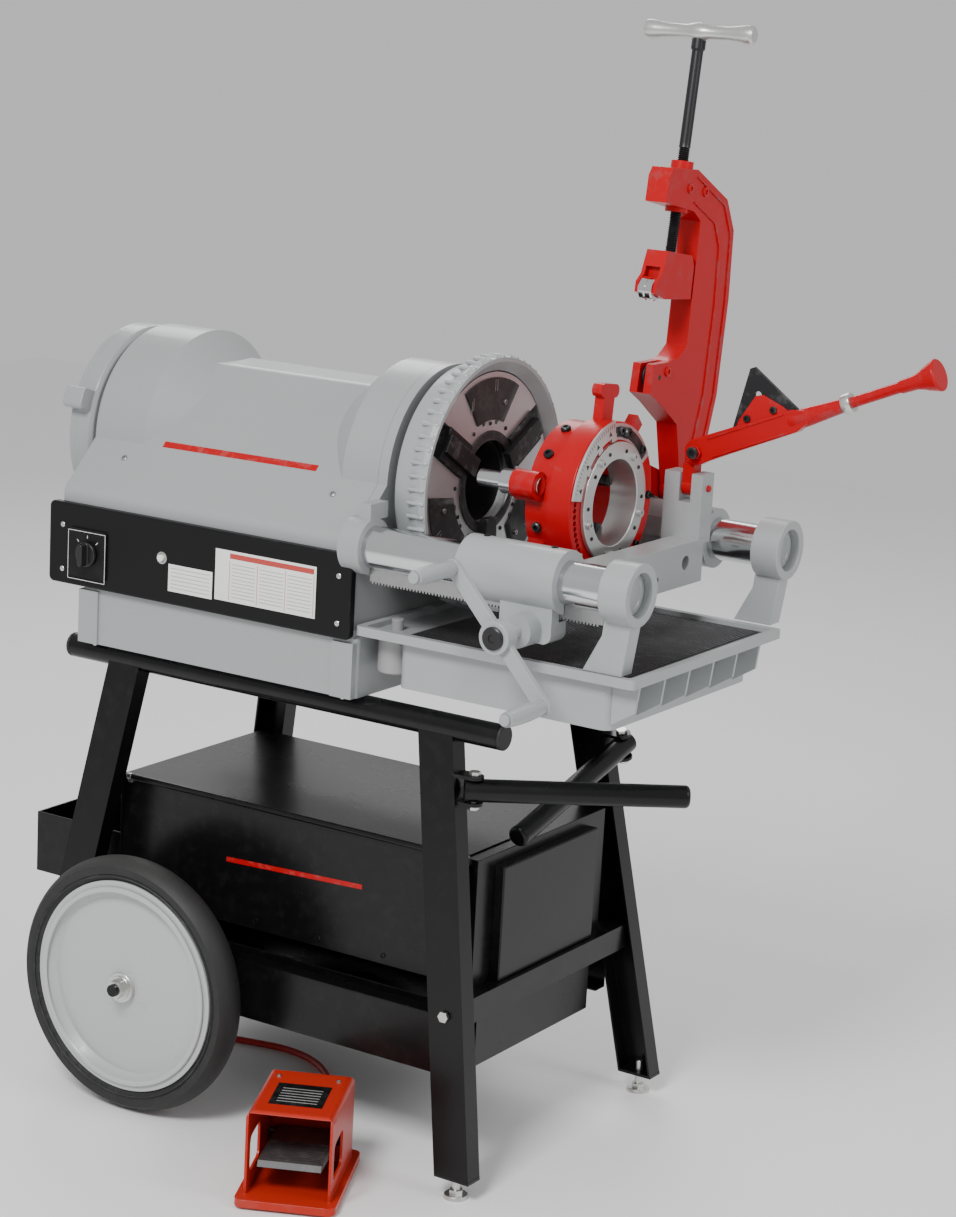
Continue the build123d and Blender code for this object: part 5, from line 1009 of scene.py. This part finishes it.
@dataclass
class Chuck(Assembly):
    """Face plate, jaws and the hand wheel round them."""

    sectors: int = 3
    ring_screw_radius: float = 0.0885
    cover_radii: tuple[float, float] = (0.158, 0.094)
    cover_thick: float = 0.0022
    grip_count: int = 60
    grip_radius: float = 0.1895
    refined: list[Refined] = field(default_factory=lambda: [
        Refined("chuck_plate", "bright_steel", CHUCK_FACE, 0.0008),
        Refined("lower_jaw", "jaw_dark", BLACKED, 0.0008),
        Refined("far_jaw", "jaw_dark", BLACKED, 0.0008),
        Refined("near_jaw", "jaw_dark", BLACKED, 0.0008),
        Refined("chuck_wheel", "light_grey", CAST_LIGHT, 0.0015),
    ])

    def details(self) -> None:
        """Adds the dark bore ring with its screws, the slot covers and the grip ribs of the wheel."""
        ring = turned([(0, 0.0625), (0.0022, 0.0632), (0.0026, 0.0700), (0.0022, 0.0772), (0, 0.0780),
                       (-0.001, 0.070), (0, 0.0625)],
                      CHUCK_FACE_CENTRE, FORWARD, "bore_ring", 96)
        self.add("bore_ring", ring, DARK_RING_AND_CAM_SLOT_SHADE, "spindle_body", "jaw_dark")
        heads = []
        for turn in (-30, 0, 30):
            head = cap_screw(FORWARD, 0.0032, 0.0015, "ring_screw")
            outward = Matrix.Translation(Vector((0, 0, self.ring_screw_radius)))
            head.transform(Matrix.Rotation(math.radians(turn), 4, "X") @ outward)
            heads.append(head)
        self.ring("ring_screws", joined(heads, "ring_screw_trio"), BOLT_BLACK, "spindle_body", "jaw_dark",
                  self.sectors, 360 / self.sectors, 0, CHUCK_FACE_CENTRE)
        outer = arc_points(Vector(), self.cover_radii[0], 62, 118, 10)
        inner = arc_points(Vector(), self.cover_radii[1], 112, 68, 6)
        cover = slab(outer + inner, Vector((self.cover_thick, 0, 0)), "slot_cover", 0.0006)
        self.ring("slot_covers", cover, DARK_RING_AND_CAM_SLOT_SHADE, "spindle_body", "jaw_dark", self.sectors,
                  360 / self.sectors, 0,
                  CHUCK_FACE_CENTRE)
        marks = [cap_screw(FORWARD, 0.0042, 0.003, "cover_bolt", Vector((self.cover_thick, 0.034, 0.118)))]
        for aside, height in ((0.006, 0.146), (0.012, 0.146), (-0.052, 0.122), (-0.056, 0.118)):
            marks.append(brick(Vector((0.0023, aside, height)), Vector((0.0006, 0.0012, 0.018)),
                               "slot_mark", 0.0001))
        self.ring("cover_bolts", joined(marks, "cover_marks"), MACHINED, "spindle_body", "bright_steel",
                  self.sectors, 360 / self.sectors, 0, CHUCK_FACE_CENTRE)
        rib = turned([(-0.030, 0), (-0.030, 0.0022), (-0.028, 0.0034), (-0.0022, 0.0034), (-0.0004, 0.0022),
                      (-0.0004, 0)],
                     Vector((0.036, 0, self.grip_radius)), FORWARD, "grip_rib", 10)
        self.ring("grip_ribs", rib, CAST_LIGHT, "chuck_handwheel", "light_grey", self.grip_count, 6, 3,
                  at(0, 0, SPINDLE_HEIGHT))


@dataclass
class Carriage(Assembly):
    """Rails, rail ends, oil pan, carriage and its hand wheel."""

    wire_pitch: float = 0.0054
    wire_size: tuple[float, float] = (0.0016, 0.0012)
    long_wires: int = 78
    cross_wires: int = 67
    tooth_pitch: float = 0.0055
    screw_gap: float = 0.112
    refined: list[Refined] = field(default_factory=lambda: [
        Refined("guide_rails", "bright_steel", BRIGHT, 0.0008),
        Refined("rail_end_brackets", "light_grey", CAST_LIGHT, 0.002),
        Refined("feed_rack", "gear_steel", MACHINED, 0.0003),
        Refined("oil_pan", "light_grey", CAST_LIGHT, 0.0015),
        Refined("chip_screen", "screen_dark", WIRE, 0.0004),
        Refined("oil_pump", "pump_dark", PUMP, 0.001),
        Refined("carriage", "light_grey", CAST_LIGHT, 0.002),
        Refined("feed_handwheel", "light_grey", CAST_LIGHT, 0.0015),
        Refined("lower_grip", "light_grey", CAST_LIGHT, 0.0012),
        Refined("upper_grip", "light_grey", CAST_LIGHT, 0.0012),
    ])

    def details(self) -> None:
        """Adds the hub cap, the woven screen, rack teeth, rail plugs and set screws."""
        cap = turned([(-0.001, 0), (-0.001, 0.0165), (0.0035, 0.0165), (0.0052, 0.0145), (0.0052, 0.006),
                      (0.0035, 0.005), (0.0035, 0)],
                     at(262, -343, 868), NEARWARD, "hub_cap", 40)
        self.add("hub_cap", cap, KNOB, "handwheel", "knob_black")
        along = brick(Vector(), Vector((0.360, *self.wire_size)), "long_wire", 0.0003)
        self.row("screen_long_wires", along, WIRE, "machine_frame", "screen_dark", self.long_wires,
                 at(222, -230, 813.4), Vector((0, self.wire_pitch, 0)))
        across = brick(Vector(), Vector((self.wire_size[0], 0.410, self.wire_size[1])), "cross_wire", 0.0003)
        self.row("screen_cross_wires", across, WIRE, "machine_frame", "screen_dark", self.cross_wires,
                 at(44, -22, 813.9), FORWARD * self.wire_pitch)
        self._rack_teeth()
        self._rail_plugs()
        set_screw = cap_screw(UPWARD, 0.005, 0.0026, "boss_screw")
        self.row("boss_screws", set_screw, BOLT_BLACK, "carriage_body", "jaw_dark", 2,
                 at(170, -RAIL_ASIDE, 981.6), FORWARD * self.screw_gap)

    def _rack_teeth(self) -> None:
        """Adds a row of wedge teeth under the feed rack."""
        low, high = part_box("feed_rack")
        tooth = slab([Vector((-0.0021, 0, 0)), Vector((0.0021, 0, 0)), Vector((0.0009, 0, -0.0034)),
                      Vector((-0.0009, 0, -0.0034))],
                     Vector((0, (high.y - low.y) * 0.96, 0)), "rack_tooth")
        count = int((high.x - low.x - 0.006) / self.tooth_pitch)
        self.row("rack_teeth", tooth, MACHINED, "machine_frame", "gear_steel", count,
                 Vector((low.x + 0.005, low.y + (high.y - low.y) * 0.02, low.z + 0.0002)),
                 FORWARD * self.tooth_pitch)

    def _rail_plugs(self) -> None:
        """Adds the rail end plugs of both end brackets."""
        for side, name in ((-1, "near"), (1, "far")):
            plug = turned([(0, 0), (0, 0.0300), (0.0012, 0.0312), (0.003, 0.0300), (0.003, 0.024),
                           (0.0015, 0.022), (0.0015, 0)],
                          at(408, side * RAIL_ASIDE, RAIL_HEIGHT), FORWARD, name + "_rail_plug", 48)
            self.add(name + "_rail_plug", plug, CAST_LIGHT, "machine_frame", "light_grey")


@dataclass
class Tools(Assembly):
    """Die head, cutter and reamer on the carriage."""

    frame_faces: tuple[float, float] = (222, 186)
    rib_width: float = 6
    rib_height: float = 0.0018
    screw_offset: float = 0.120
    thread_from: float = 0.357
    thread_to: float = 0.512
    thread_pitch: float = 0.003
    handle_height: float = 0.682
    handle_half: float = 0.091
    arm_lift: float = 23.2
    refined: list[Refined] = field(default_factory=lambda: [
        Refined("tool_hinge_pin", "bright_steel", MACHINED, 0.0005),
        Refined("die_head_body", "tool_red", RED_PAINT, 0.0015),
        Refined("latch_pin", "bright_steel", BRIGHT, 0.0005),
        Refined("dies", "gear_steel", BLACKED, 0.0003),
        Refined("cam_ring", "tool_red", RED_PAINT, 0.0015),
        Refined("throat_ring", "throat_steel", ALUMINIUM, 0.0006),
        Refined("size_plate", "throat_steel", ALUMINIUM, 0.0003),
        Refined("cutter_frame", "tool_red", RED_PAINT, 0.002),
        Refined("cutter_wheel", "jaw_dark", BLACKED, 0.0),
        Refined("cutter_slide", "tool_red", RED_PAINT, 0.0008),
        Refined("reamer_knuckle", "tool_red", RED_PAINT, 0.0012),
        Refined("reamer_arm", "tool_red", RED_PAINT, 0.0015),
        Refined("reamer_blade", "jaw_dark", BLACKED, 0.0003),
    ])

    def details(self) -> None:
        """Adds the fittings of the die head, the cutter and the reamer."""
        self._die_head()
        self._cutter_ribs()
        self._feed_screw()
        self._reamer()

    def _cutter_ribs(self) -> None:
        """Adds the raised ribs and bolts on both sides of the cutter's frame."""
        c, s = math.cos(CUTTER_LEAN), math.sin(CUTTER_LEAN)

        def spot(x: float, across: float, along: float) -> Vector:
            """Point beside the frame: across from the hinge and along the feed screw, in millimetres."""
            return at(x, HINGE_ASIDE + across * c + along * s, HINGE_HEIGHT - across * s + along * c)

        back = [(13, 8), (36, 72), (50, 150), (46, 298), (33, 398), (2, 439), (-96, 472)]
        front = [(-14, 28), (4, 82), (16, 150), (13, 288), (2, 376), (-22, 410), (-96, 434)]
        for side, face, way in (("near", self.frame_faces[0], 1), ("far", self.frame_faces[1], -1)):
            strips = []
            for line in (back, front):
                for (a0, b0), (a1, b1) in zip(line, line[1:]):
                    corners = [spot(face, a0, b0), spot(face, a1, b1),
                               spot(face, a1 - self.rib_width, b1 - 1.5),
                               spot(face, a0 - self.rib_width, b0 - 1.5)]
                    strips.append(slab(corners, Vector((self.rib_height * way, 0, 0)), side + "_strip"))
            for across, along in ((-70, 452), (-118, 452), (-112, 178)):
                strips.append(cap_screw(Vector((way, 0, 0)), 0.0075, 0.003, side + "_boss",
                                        spot(face, across, along)))
            self.add(side + "_frame_ribs", joined(strips, side + "_frame_ribs"), RED_PAINT, "cutter",
                     "tool_red")

    def _die_head(self) -> None:
        """Adds the die head's scale, a dark sheet painted as the shade of the cam slot, the knob, and its
        screws.
        """
        tick = brick(Vector((0.0001, 0, 0.1165)), Vector((0.0003, 0.0006, 0.006)), "scale_tick")
        self.ring("scale_ticks", tick, BLACKED, "die_cam", "throat_steel", 24, 3, 8, THROAT_CENTRE)
        arrow = slab([Vector((0, -0.004, 0.104)), Vector((0, 0.004, 0.104)), Vector((0, 0, 0.111))],
                     Vector((0.0003, 0, 0)), "scale_arrow")
        self.ring("scale_arrows", arrow, BLACKED, "die_cam", "throat_steel", 4, 20, 14, THROAT_CENTRE)
        bolt = cap_screw(FORWARD, 0.0062, 0.005, "ring_bolt")
        bolt.transform(Matrix.Translation(Vector((0, 0, 0.106))))
        self.ring("cam_bolts", bolt, BOLT_BLACK, "die_cam", "jaw_dark", 5, 42, -175, CAM_CENTRE)
        # Painted shade: a thin dark sheet lies on the cam ring where its slot opens, standing in for the
        # slot's shaded gap instead of a cut slot.
        slot = slab(arc_points(CAM_CENTRE, 0.1115, 34, 92, 14) + arc_points(CAM_CENTRE, 0.0965, 92, 34, 14),
                    Vector((0.0012, 0, 0)), "cam_slot", 0.0004)
        self.add("cam_slot", slot, DARK_RING_AND_CAM_SLOT_SHADE, "die_cam", "jaw_dark")
        trim = slab(arc_points(CAM_CENTRE, 0.1165, 30, 95, 16) + arc_points(CAM_CENTRE, 0.0925, 95, 30, 16),
                    Vector((0.0007, 0, 0)), "cam_trim", 0.0003)
        self.add("cam_trim", trim, ALUMINIUM, "die_cam", "throat_steel")
        knob = turned([(0.0005, 0), (0.0005, 0.0085), (0.006, 0.0085), (0.0085, 0.0070), (0.0085, 0.0035),
                       (0.0060, 0.0030), (0.0060, 0)],
                      at(240, 28, 1112), FORWARD, "cam_knob", 28)
        self.add("cam_knob", knob, BOLT_BLACK, "die_cam", "jaw_dark")
        dot = cap_screw(FORWARD, 0.0030, 0.0014, "throat_dot")
        dot.transform(Matrix.Translation(Vector((0, 0, 0.0775))))
        self.ring("throat_dots", dot, BOLT_BLACK, "die_head", "jaw_dark", 10, 36, 18, THROAT_CENTRE)
        side = cap_screw(UPWARD, 0.0075, 0.006, "rim_bolt")
        side.transform(Matrix.Translation(Vector((0, 0, 0.1118))))
        self.ring("rim_bolts", side, BOLT_BLACK, "die_head", "jaw_dark", 6, 28, 22,
                  at(180, 0, SPINDLE_HEIGHT))

    def _feed_screw(self) -> None:
        """Builds the cutter's feed screw with its thread and flared T-handle, and the grooved roller."""
        up = Vector((0, math.sin(CUTTER_LEAN), math.cos(CUTTER_LEAN)))
        aside = Vector((0, math.cos(CUTTER_LEAN), -math.sin(CUTTER_LEAN)))
        foot = at(204, HINGE_ASIDE, HINGE_HEIGHT) - aside * self.screw_offset
        thread: list[tuple[float, float]] = [(0.341, 0), (0.341, 0.006), (0.3555, 0.006), (0.3555, 0.0086)]
        along = self.thread_from
        while along < self.thread_to:
            thread += [(along, 0.0074), (along + 0.0015, 0.0090)]
            along += self.thread_pitch
        thread += [(0.514, 0.0086), (0.520, 0.0086), (0.654, 0.0086), (0.657, 0.0108), (0.672, 0.0108),
                   (0.676, 0)]
        rod = turned(thread, foot, up, "feed_rod", 28)
        handle_at = foot + up * self.handle_height
        half = self.handle_half
        outline = [(0, 0), (0, 0.0105), (0.003, 0.0142), (0.010, 0.0149), (0.020, 0.0135), (0.042, 0.0108),
                   (0.070, 0.0106), (0.080, 0.0128), (half, 0.0145)]
        mirror = [(2 * half - a, r) for a, r in reversed(outline[:-1])]
        bar = turned(outline + mirror, handle_at - FORWARD * half, FORWARD, "feed_bar", 40)
        self.add("feed_rod", rod, BLACKED, "cutter_feed_screw", "bright_steel", "cutter_screw")
        self.add("feed_bar", bar, ALUMINIUM, "cutter_feed_screw", "bright_steel")
        groove = [(0.0064, 0), (0.0064, 0.0150), (0.0085, 0.0168), (0.0160, 0.0168), (0.018, 0.0154),
                  (0.0200, 0.0168), (0.0275, 0.0168), (0.0296, 0.0150), (0.0296, 0)]
        middle = foot - aside * 0.050 + up * 0.296
        roll = turned(groove, middle - FORWARD * 0.018, FORWARD, "cutter_roll", 32)
        self.add("cutter_roll", roll, BRIGHT, "cutter_roller_slide", "bright_steel")

    def _reamer(self) -> None:
        """Adds the reamer's pin head, blade webs with bolts, clip, taper, rims and knob neck."""
        low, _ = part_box("reamer_arm")
        root = at(291, 167, 1076)
        pin = cap_screw(NEARWARD, 0.009, 0.003, "reamer_pin_head", Vector((root.x, low.y + 0.0006, root.z)))
        self.add("reamer_pin_head", pin, BOLT_BLACK, "reamer", "jaw_dark")
        lift = math.radians(self.arm_lift)
        out, up = Vector((math.cos(lift), 0, math.sin(lift))), Vector((-math.sin(lift), 0, math.cos(lift)))

        def spot(along: float, over: float, aside: float = 0.0) -> Vector:
            """Point in the arm's own directions from its pin, in millimetres."""
            return root + out * (along / 1000) + up * (over / 1000) + Vector((0, aside / 1000, 0))

        for name, near in (("near", -11.2), ("far", -0.8)):
            web = slab([spot(74, 15, near), spot(166, 15, near), spot(160, 24, near), spot(134, 50, near),
                        spot(122, 52, near), spot(84, 26, near)],
                       Vector((0, 0.004, 0)), name + "_web", 0.0008)
            self.add(name + "_web", web, RED_PAINT, "reamer", "tool_red")
        bolt = cap_screw(NEARWARD, 0.0055, 0.004, "web_bolt")
        self.row("web_bolts", bolt, BOLT_BLACK, "reamer", "jaw_dark", 2, spot(98, 24, -11.2), out * 0.046)
        clip = turned([(-0.001, 0.0075), (-0.001, 0.0146), (0.001, 0.0152), (0.011, 0.0152),
                       (0.013, 0.0146), (0.013, 0.0075), (-0.001, 0.0075)],
                      spot(252, 0), out, "arm_clip", 32)
        self.add("arm_clip", clip, ALUMINIUM, "reamer", "light_grey")
        taper = turned([(0.150, 0), (0.152, 0.0100), (0.165, 0.0148), (0.190, 0.0142), (0.251, 0.0104),
                        (0.251, 0)],
                       root, out, "arm_taper", 32)
        self.add("arm_taper", taper, RED_PAINT, "reamer", "tool_red")
        rims = []
        for low_edge, high_edge in ((12.5, 15.5), (-15.5, -12.5)):
            for face, way in ((-13, -1), (5, 1)):
                edge = slab([spot(24, low_edge, face), spot(158, low_edge, face),
                             spot(158, high_edge, face), spot(24, high_edge, face)],
                            Vector((0, 0.0016 * way, 0)), "arm_rim", 0.0004)
                rims.append(edge)
        self.add("arm_rims", joined(rims, "arm_rims"), RED_PAINT, "reamer", "tool_red")
        neck = turned([(0.188, 0), (0.188, 0.0083), (0.342, 0.0083), (0.346, 0.0102), (0.370, 0.0112),
                       (0.3855, 0.0165), (0.3862, 0)],
                       root, out, "knob_neck", 32)
        self.add("knob_neck", neck, RED_PAINT, "reamer", "tool_red")


CORD_LINE = [
    (-42.68, -290.46, 30), (-68.04, -236.08, 30), (-105, -172, 7), (-140, -118, 5.5), (-172, -62, 5.5),
    (-212, -14, 5.5), (-262, 20, 5.5), (-322, 34, 5.5), (-384, 22, 5.5), (-446, 6, 5.5), (-510, 14, 5.5),
    (-566, 54, 5.5), (-606, 112, 5.5), (-626, 172, 14), (-628, 216, 52), (-622, 238, 112), (-617, 240, 190),
    (-612, 243, 275), (-596, 252, 355), (-566, 260, 430), (-532, 256, 510), (-505, 244, 590),
    (-490, 233.5, 645), (-490, 233.5, 687.05),
]
CORD_RADIUS = 0.0055


@dataclass
class FootSwitch(Assembly):
    """Guarded foot switch, its treadle and its lead."""

    turn: float = 25
    guard_top: float = 144
    place: tuple[float, float] = (0, -382)
    tread_count: int = 11
    tread_pitch: float = 0.007
    tread_slope: float = 4.0 / 144
    refined: list[Refined] = field(default_factory=lambda: [
        Refined("foot_switch_housing", "guard_orange", ORANGE_PAINT, 0.0015),
        Refined("foot_treadle", "treadle_dark", TREADLE, 0.001),
    ])

    def details(self) -> None:
        """Adds the blank top plate, tread ribs and housing screws."""
        turn = math.radians(self.turn)
        right = Vector((math.cos(turn), math.sin(turn), 0))
        back = Vector((-math.sin(turn), math.cos(turn), 0))
        middle = at(*self.place, self.guard_top)

        def spot(across: float, deep: float, up: float = 0.0) -> Vector:
            """Point on the guard's top, in its own directions, in millimetres."""
            return middle + right * (across / 1000) + back * (deep / 1000) + Vector((0, 0, up / 1000))

        top = slab([spot(-40, -52), spot(40, -52), spot(40, 30), spot(-40, 30)], Vector((0, 0, 0.0005)),
                   "guard_plate", 0.0001)
        self.add("guard_plate", top, BAND_PAINT, "machine_frame", "band_black")
        bar = slab([spot(-30, 0, 0.5) - spot(0, 0), spot(30, 0, 0.5) - spot(0, 0),
                    spot(30, 2, 0.5) - spot(0, 0), spot(-30, 2, 0.5) - spot(0, 0)],
                   Vector((0, 0, 0.0002)), "plate_rule")
        self.row("guard_plate_rows", bar, PUMP, "machine_frame", "band_black", 6, spot(0, -40),
                 back * 0.010)
        screw = cap_screw(UPWARD, 0.004, 0.002, "guard_screw")
        self.row("guard_screws", screw, ZINC, "machine_frame", "zinc", 2, spot(-45, 55), right * 0.090)
        base = at(*self.place, 0)
        rib = slab([right * -0.043 - back * 0.0016, right * 0.043 - back * 0.0016,
                    right * 0.043 + back * 0.0016, right * -0.043 + back * 0.0016],
                   Vector((0, 0, 0.0018)), "tread_rib", 0.0004)
        self.row("tread_ribs", rib, TREADLE, "treadle", "treadle_dark", self.tread_count,
                 base - back * 0.068 + Vector((0, 0, 0.0646)),
                 back * self.tread_pitch + Vector((0, 0, -self.tread_pitch * self.tread_slope)))

    def lead(self) -> None:
        """Lays the lead from the foot switch to the gland under the base."""
        curve = bpy.data.curves.new("foot_switch_lead", "CURVE")
        curve.dimensions = "3D"
        curve.resolution_u = 8
        curve.bevel_depth = CORD_RADIUS
        curve.bevel_resolution = 5
        curve.use_fill_caps = True
        line = curve.splines.new("NURBS")
        line.points.add(len(CORD_LINE) - 1)
        for point, place in zip(line.points, CORD_LINE):
            point.co = (*at(*place), 1)
        line.order_u = 3
        line.use_endpoint_u = True
        curve.materials.append(CORD.material(self.shop.groups))
        lead = bpy.data.objects.new("foot_switch_lead", curve)
        bpy.context.scene.collection.objects.link(lead)
        self.shop.settle(lead, "machine_frame", "cord_red", "cord")


# ---------------------------------------------------------------- floor, light and camera
@dataclass
class Studio:
    """Pale floor, soft lamps and the camera."""

    shop: Workshop
    spot: Vector = field(default_factory=lambda: Vector((2.2972, -3.6316, 1.7689)) + SHIFT)
    azimuth: float = 32.094
    elevation: float = 13.26
    roll: float = 3.1285
    lens: float = 85.47
    shift: tuple[float, float] = (0.0015, 0.030)
    sky: float = 0.62

    def camera(self) -> None:
        """Sets the camera at the standing viewer's corner."""
        camera = bpy.data.cameras.new("camera")
        camera.lens = self.lens
        camera.sensor_width = 36
        camera.shift_x, camera.shift_y = self.shift
        eye = bpy.data.objects.new("camera", camera)
        bpy.context.scene.collection.objects.link(eye)
        heading = Matrix.Rotation(math.radians(self.azimuth), 4, "Z")
        tilt = Matrix.Rotation(math.radians(90 - self.elevation), 4, "X")
        turn = heading @ tilt @ Matrix.Rotation(math.radians(self.roll), 4, "Z")
        eye.matrix_world = Matrix.Translation(self.spot) @ turn
        bpy.context.scene.camera = eye

    def lamp(self, name: str, spot: tuple[float, float, float], size: float, power: float,
             aim: tuple[float, float, float]) -> None:
        """Hangs one soft square lamp.

        Args:
            name: its name.
            spot: where it hangs, in metres.
            size: its side.
            power: its power in watts.
            aim: the point it faces.
        """
        light = bpy.data.lights.new(name, "AREA")
        light.size = size
        light.energy = power
        lamp = bpy.data.objects.new(name, light)
        bpy.context.scene.collection.objects.link(lamp)
        lamp.location = spot
        lamp.rotation_euler = (Vector(aim) - Vector(spot)).to_track_quat("-Z", "Y").to_euler()

    def build(self) -> None:
        """Makes the floor, the world light, the lamps and the camera."""
        mesh = slab([Vector((-6, -6, -0.02)), Vector((6, -6, -0.02)), Vector((6, 6, -0.02)),
                     Vector((-6, 6, -0.02))],
                    Vector((0, 0, 0.02)), "floor")
        floor = self.shop.piece("floor", mesh, FLOOR)
        world = bpy.data.worlds.new("studio")
        world.use_nodes = True
        world.node_tree.nodes["Background"].inputs["Color"].default_value = (1.0, 1.0, 1.0, 1)
        world.node_tree.nodes["Background"].inputs["Strength"].default_value = self.sky
        bpy.context.scene.world = world
        self.lamp("key_lamp", (0.4, -3.2, 3.6), 1.2, 170, (0, 0, 0.8))
        self.lamp("side_lamp", (3.4, 0.2, 2.6), 1.2, 34, (0, 0, 0.8))
        self.lamp("back_lamp", (-2.4, 2.8, 3.2), 1.8, 50, (0, 0, 0.9))
        self.camera()


def main() -> None:
    """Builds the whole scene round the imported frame."""
    logging.basicConfig(level=logging.INFO, format="%(name)s: %(message)s")
    bpy.ops.object.select_all(action="SELECT")
    bpy.ops.object.delete()
    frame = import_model()
    shop = Workshop(frame)
    Studio(shop).build()
    switch = FootSwitch(shop)
    switch.lead()
    for assembly in (Stand(shop), Head(shop), Chuck(shop), Carriage(shop), Tools(shop), switch):
        assembly.build()
        log.info("finished %s", type(assembly).__name__)


if __name__ == "__main__":
    main()
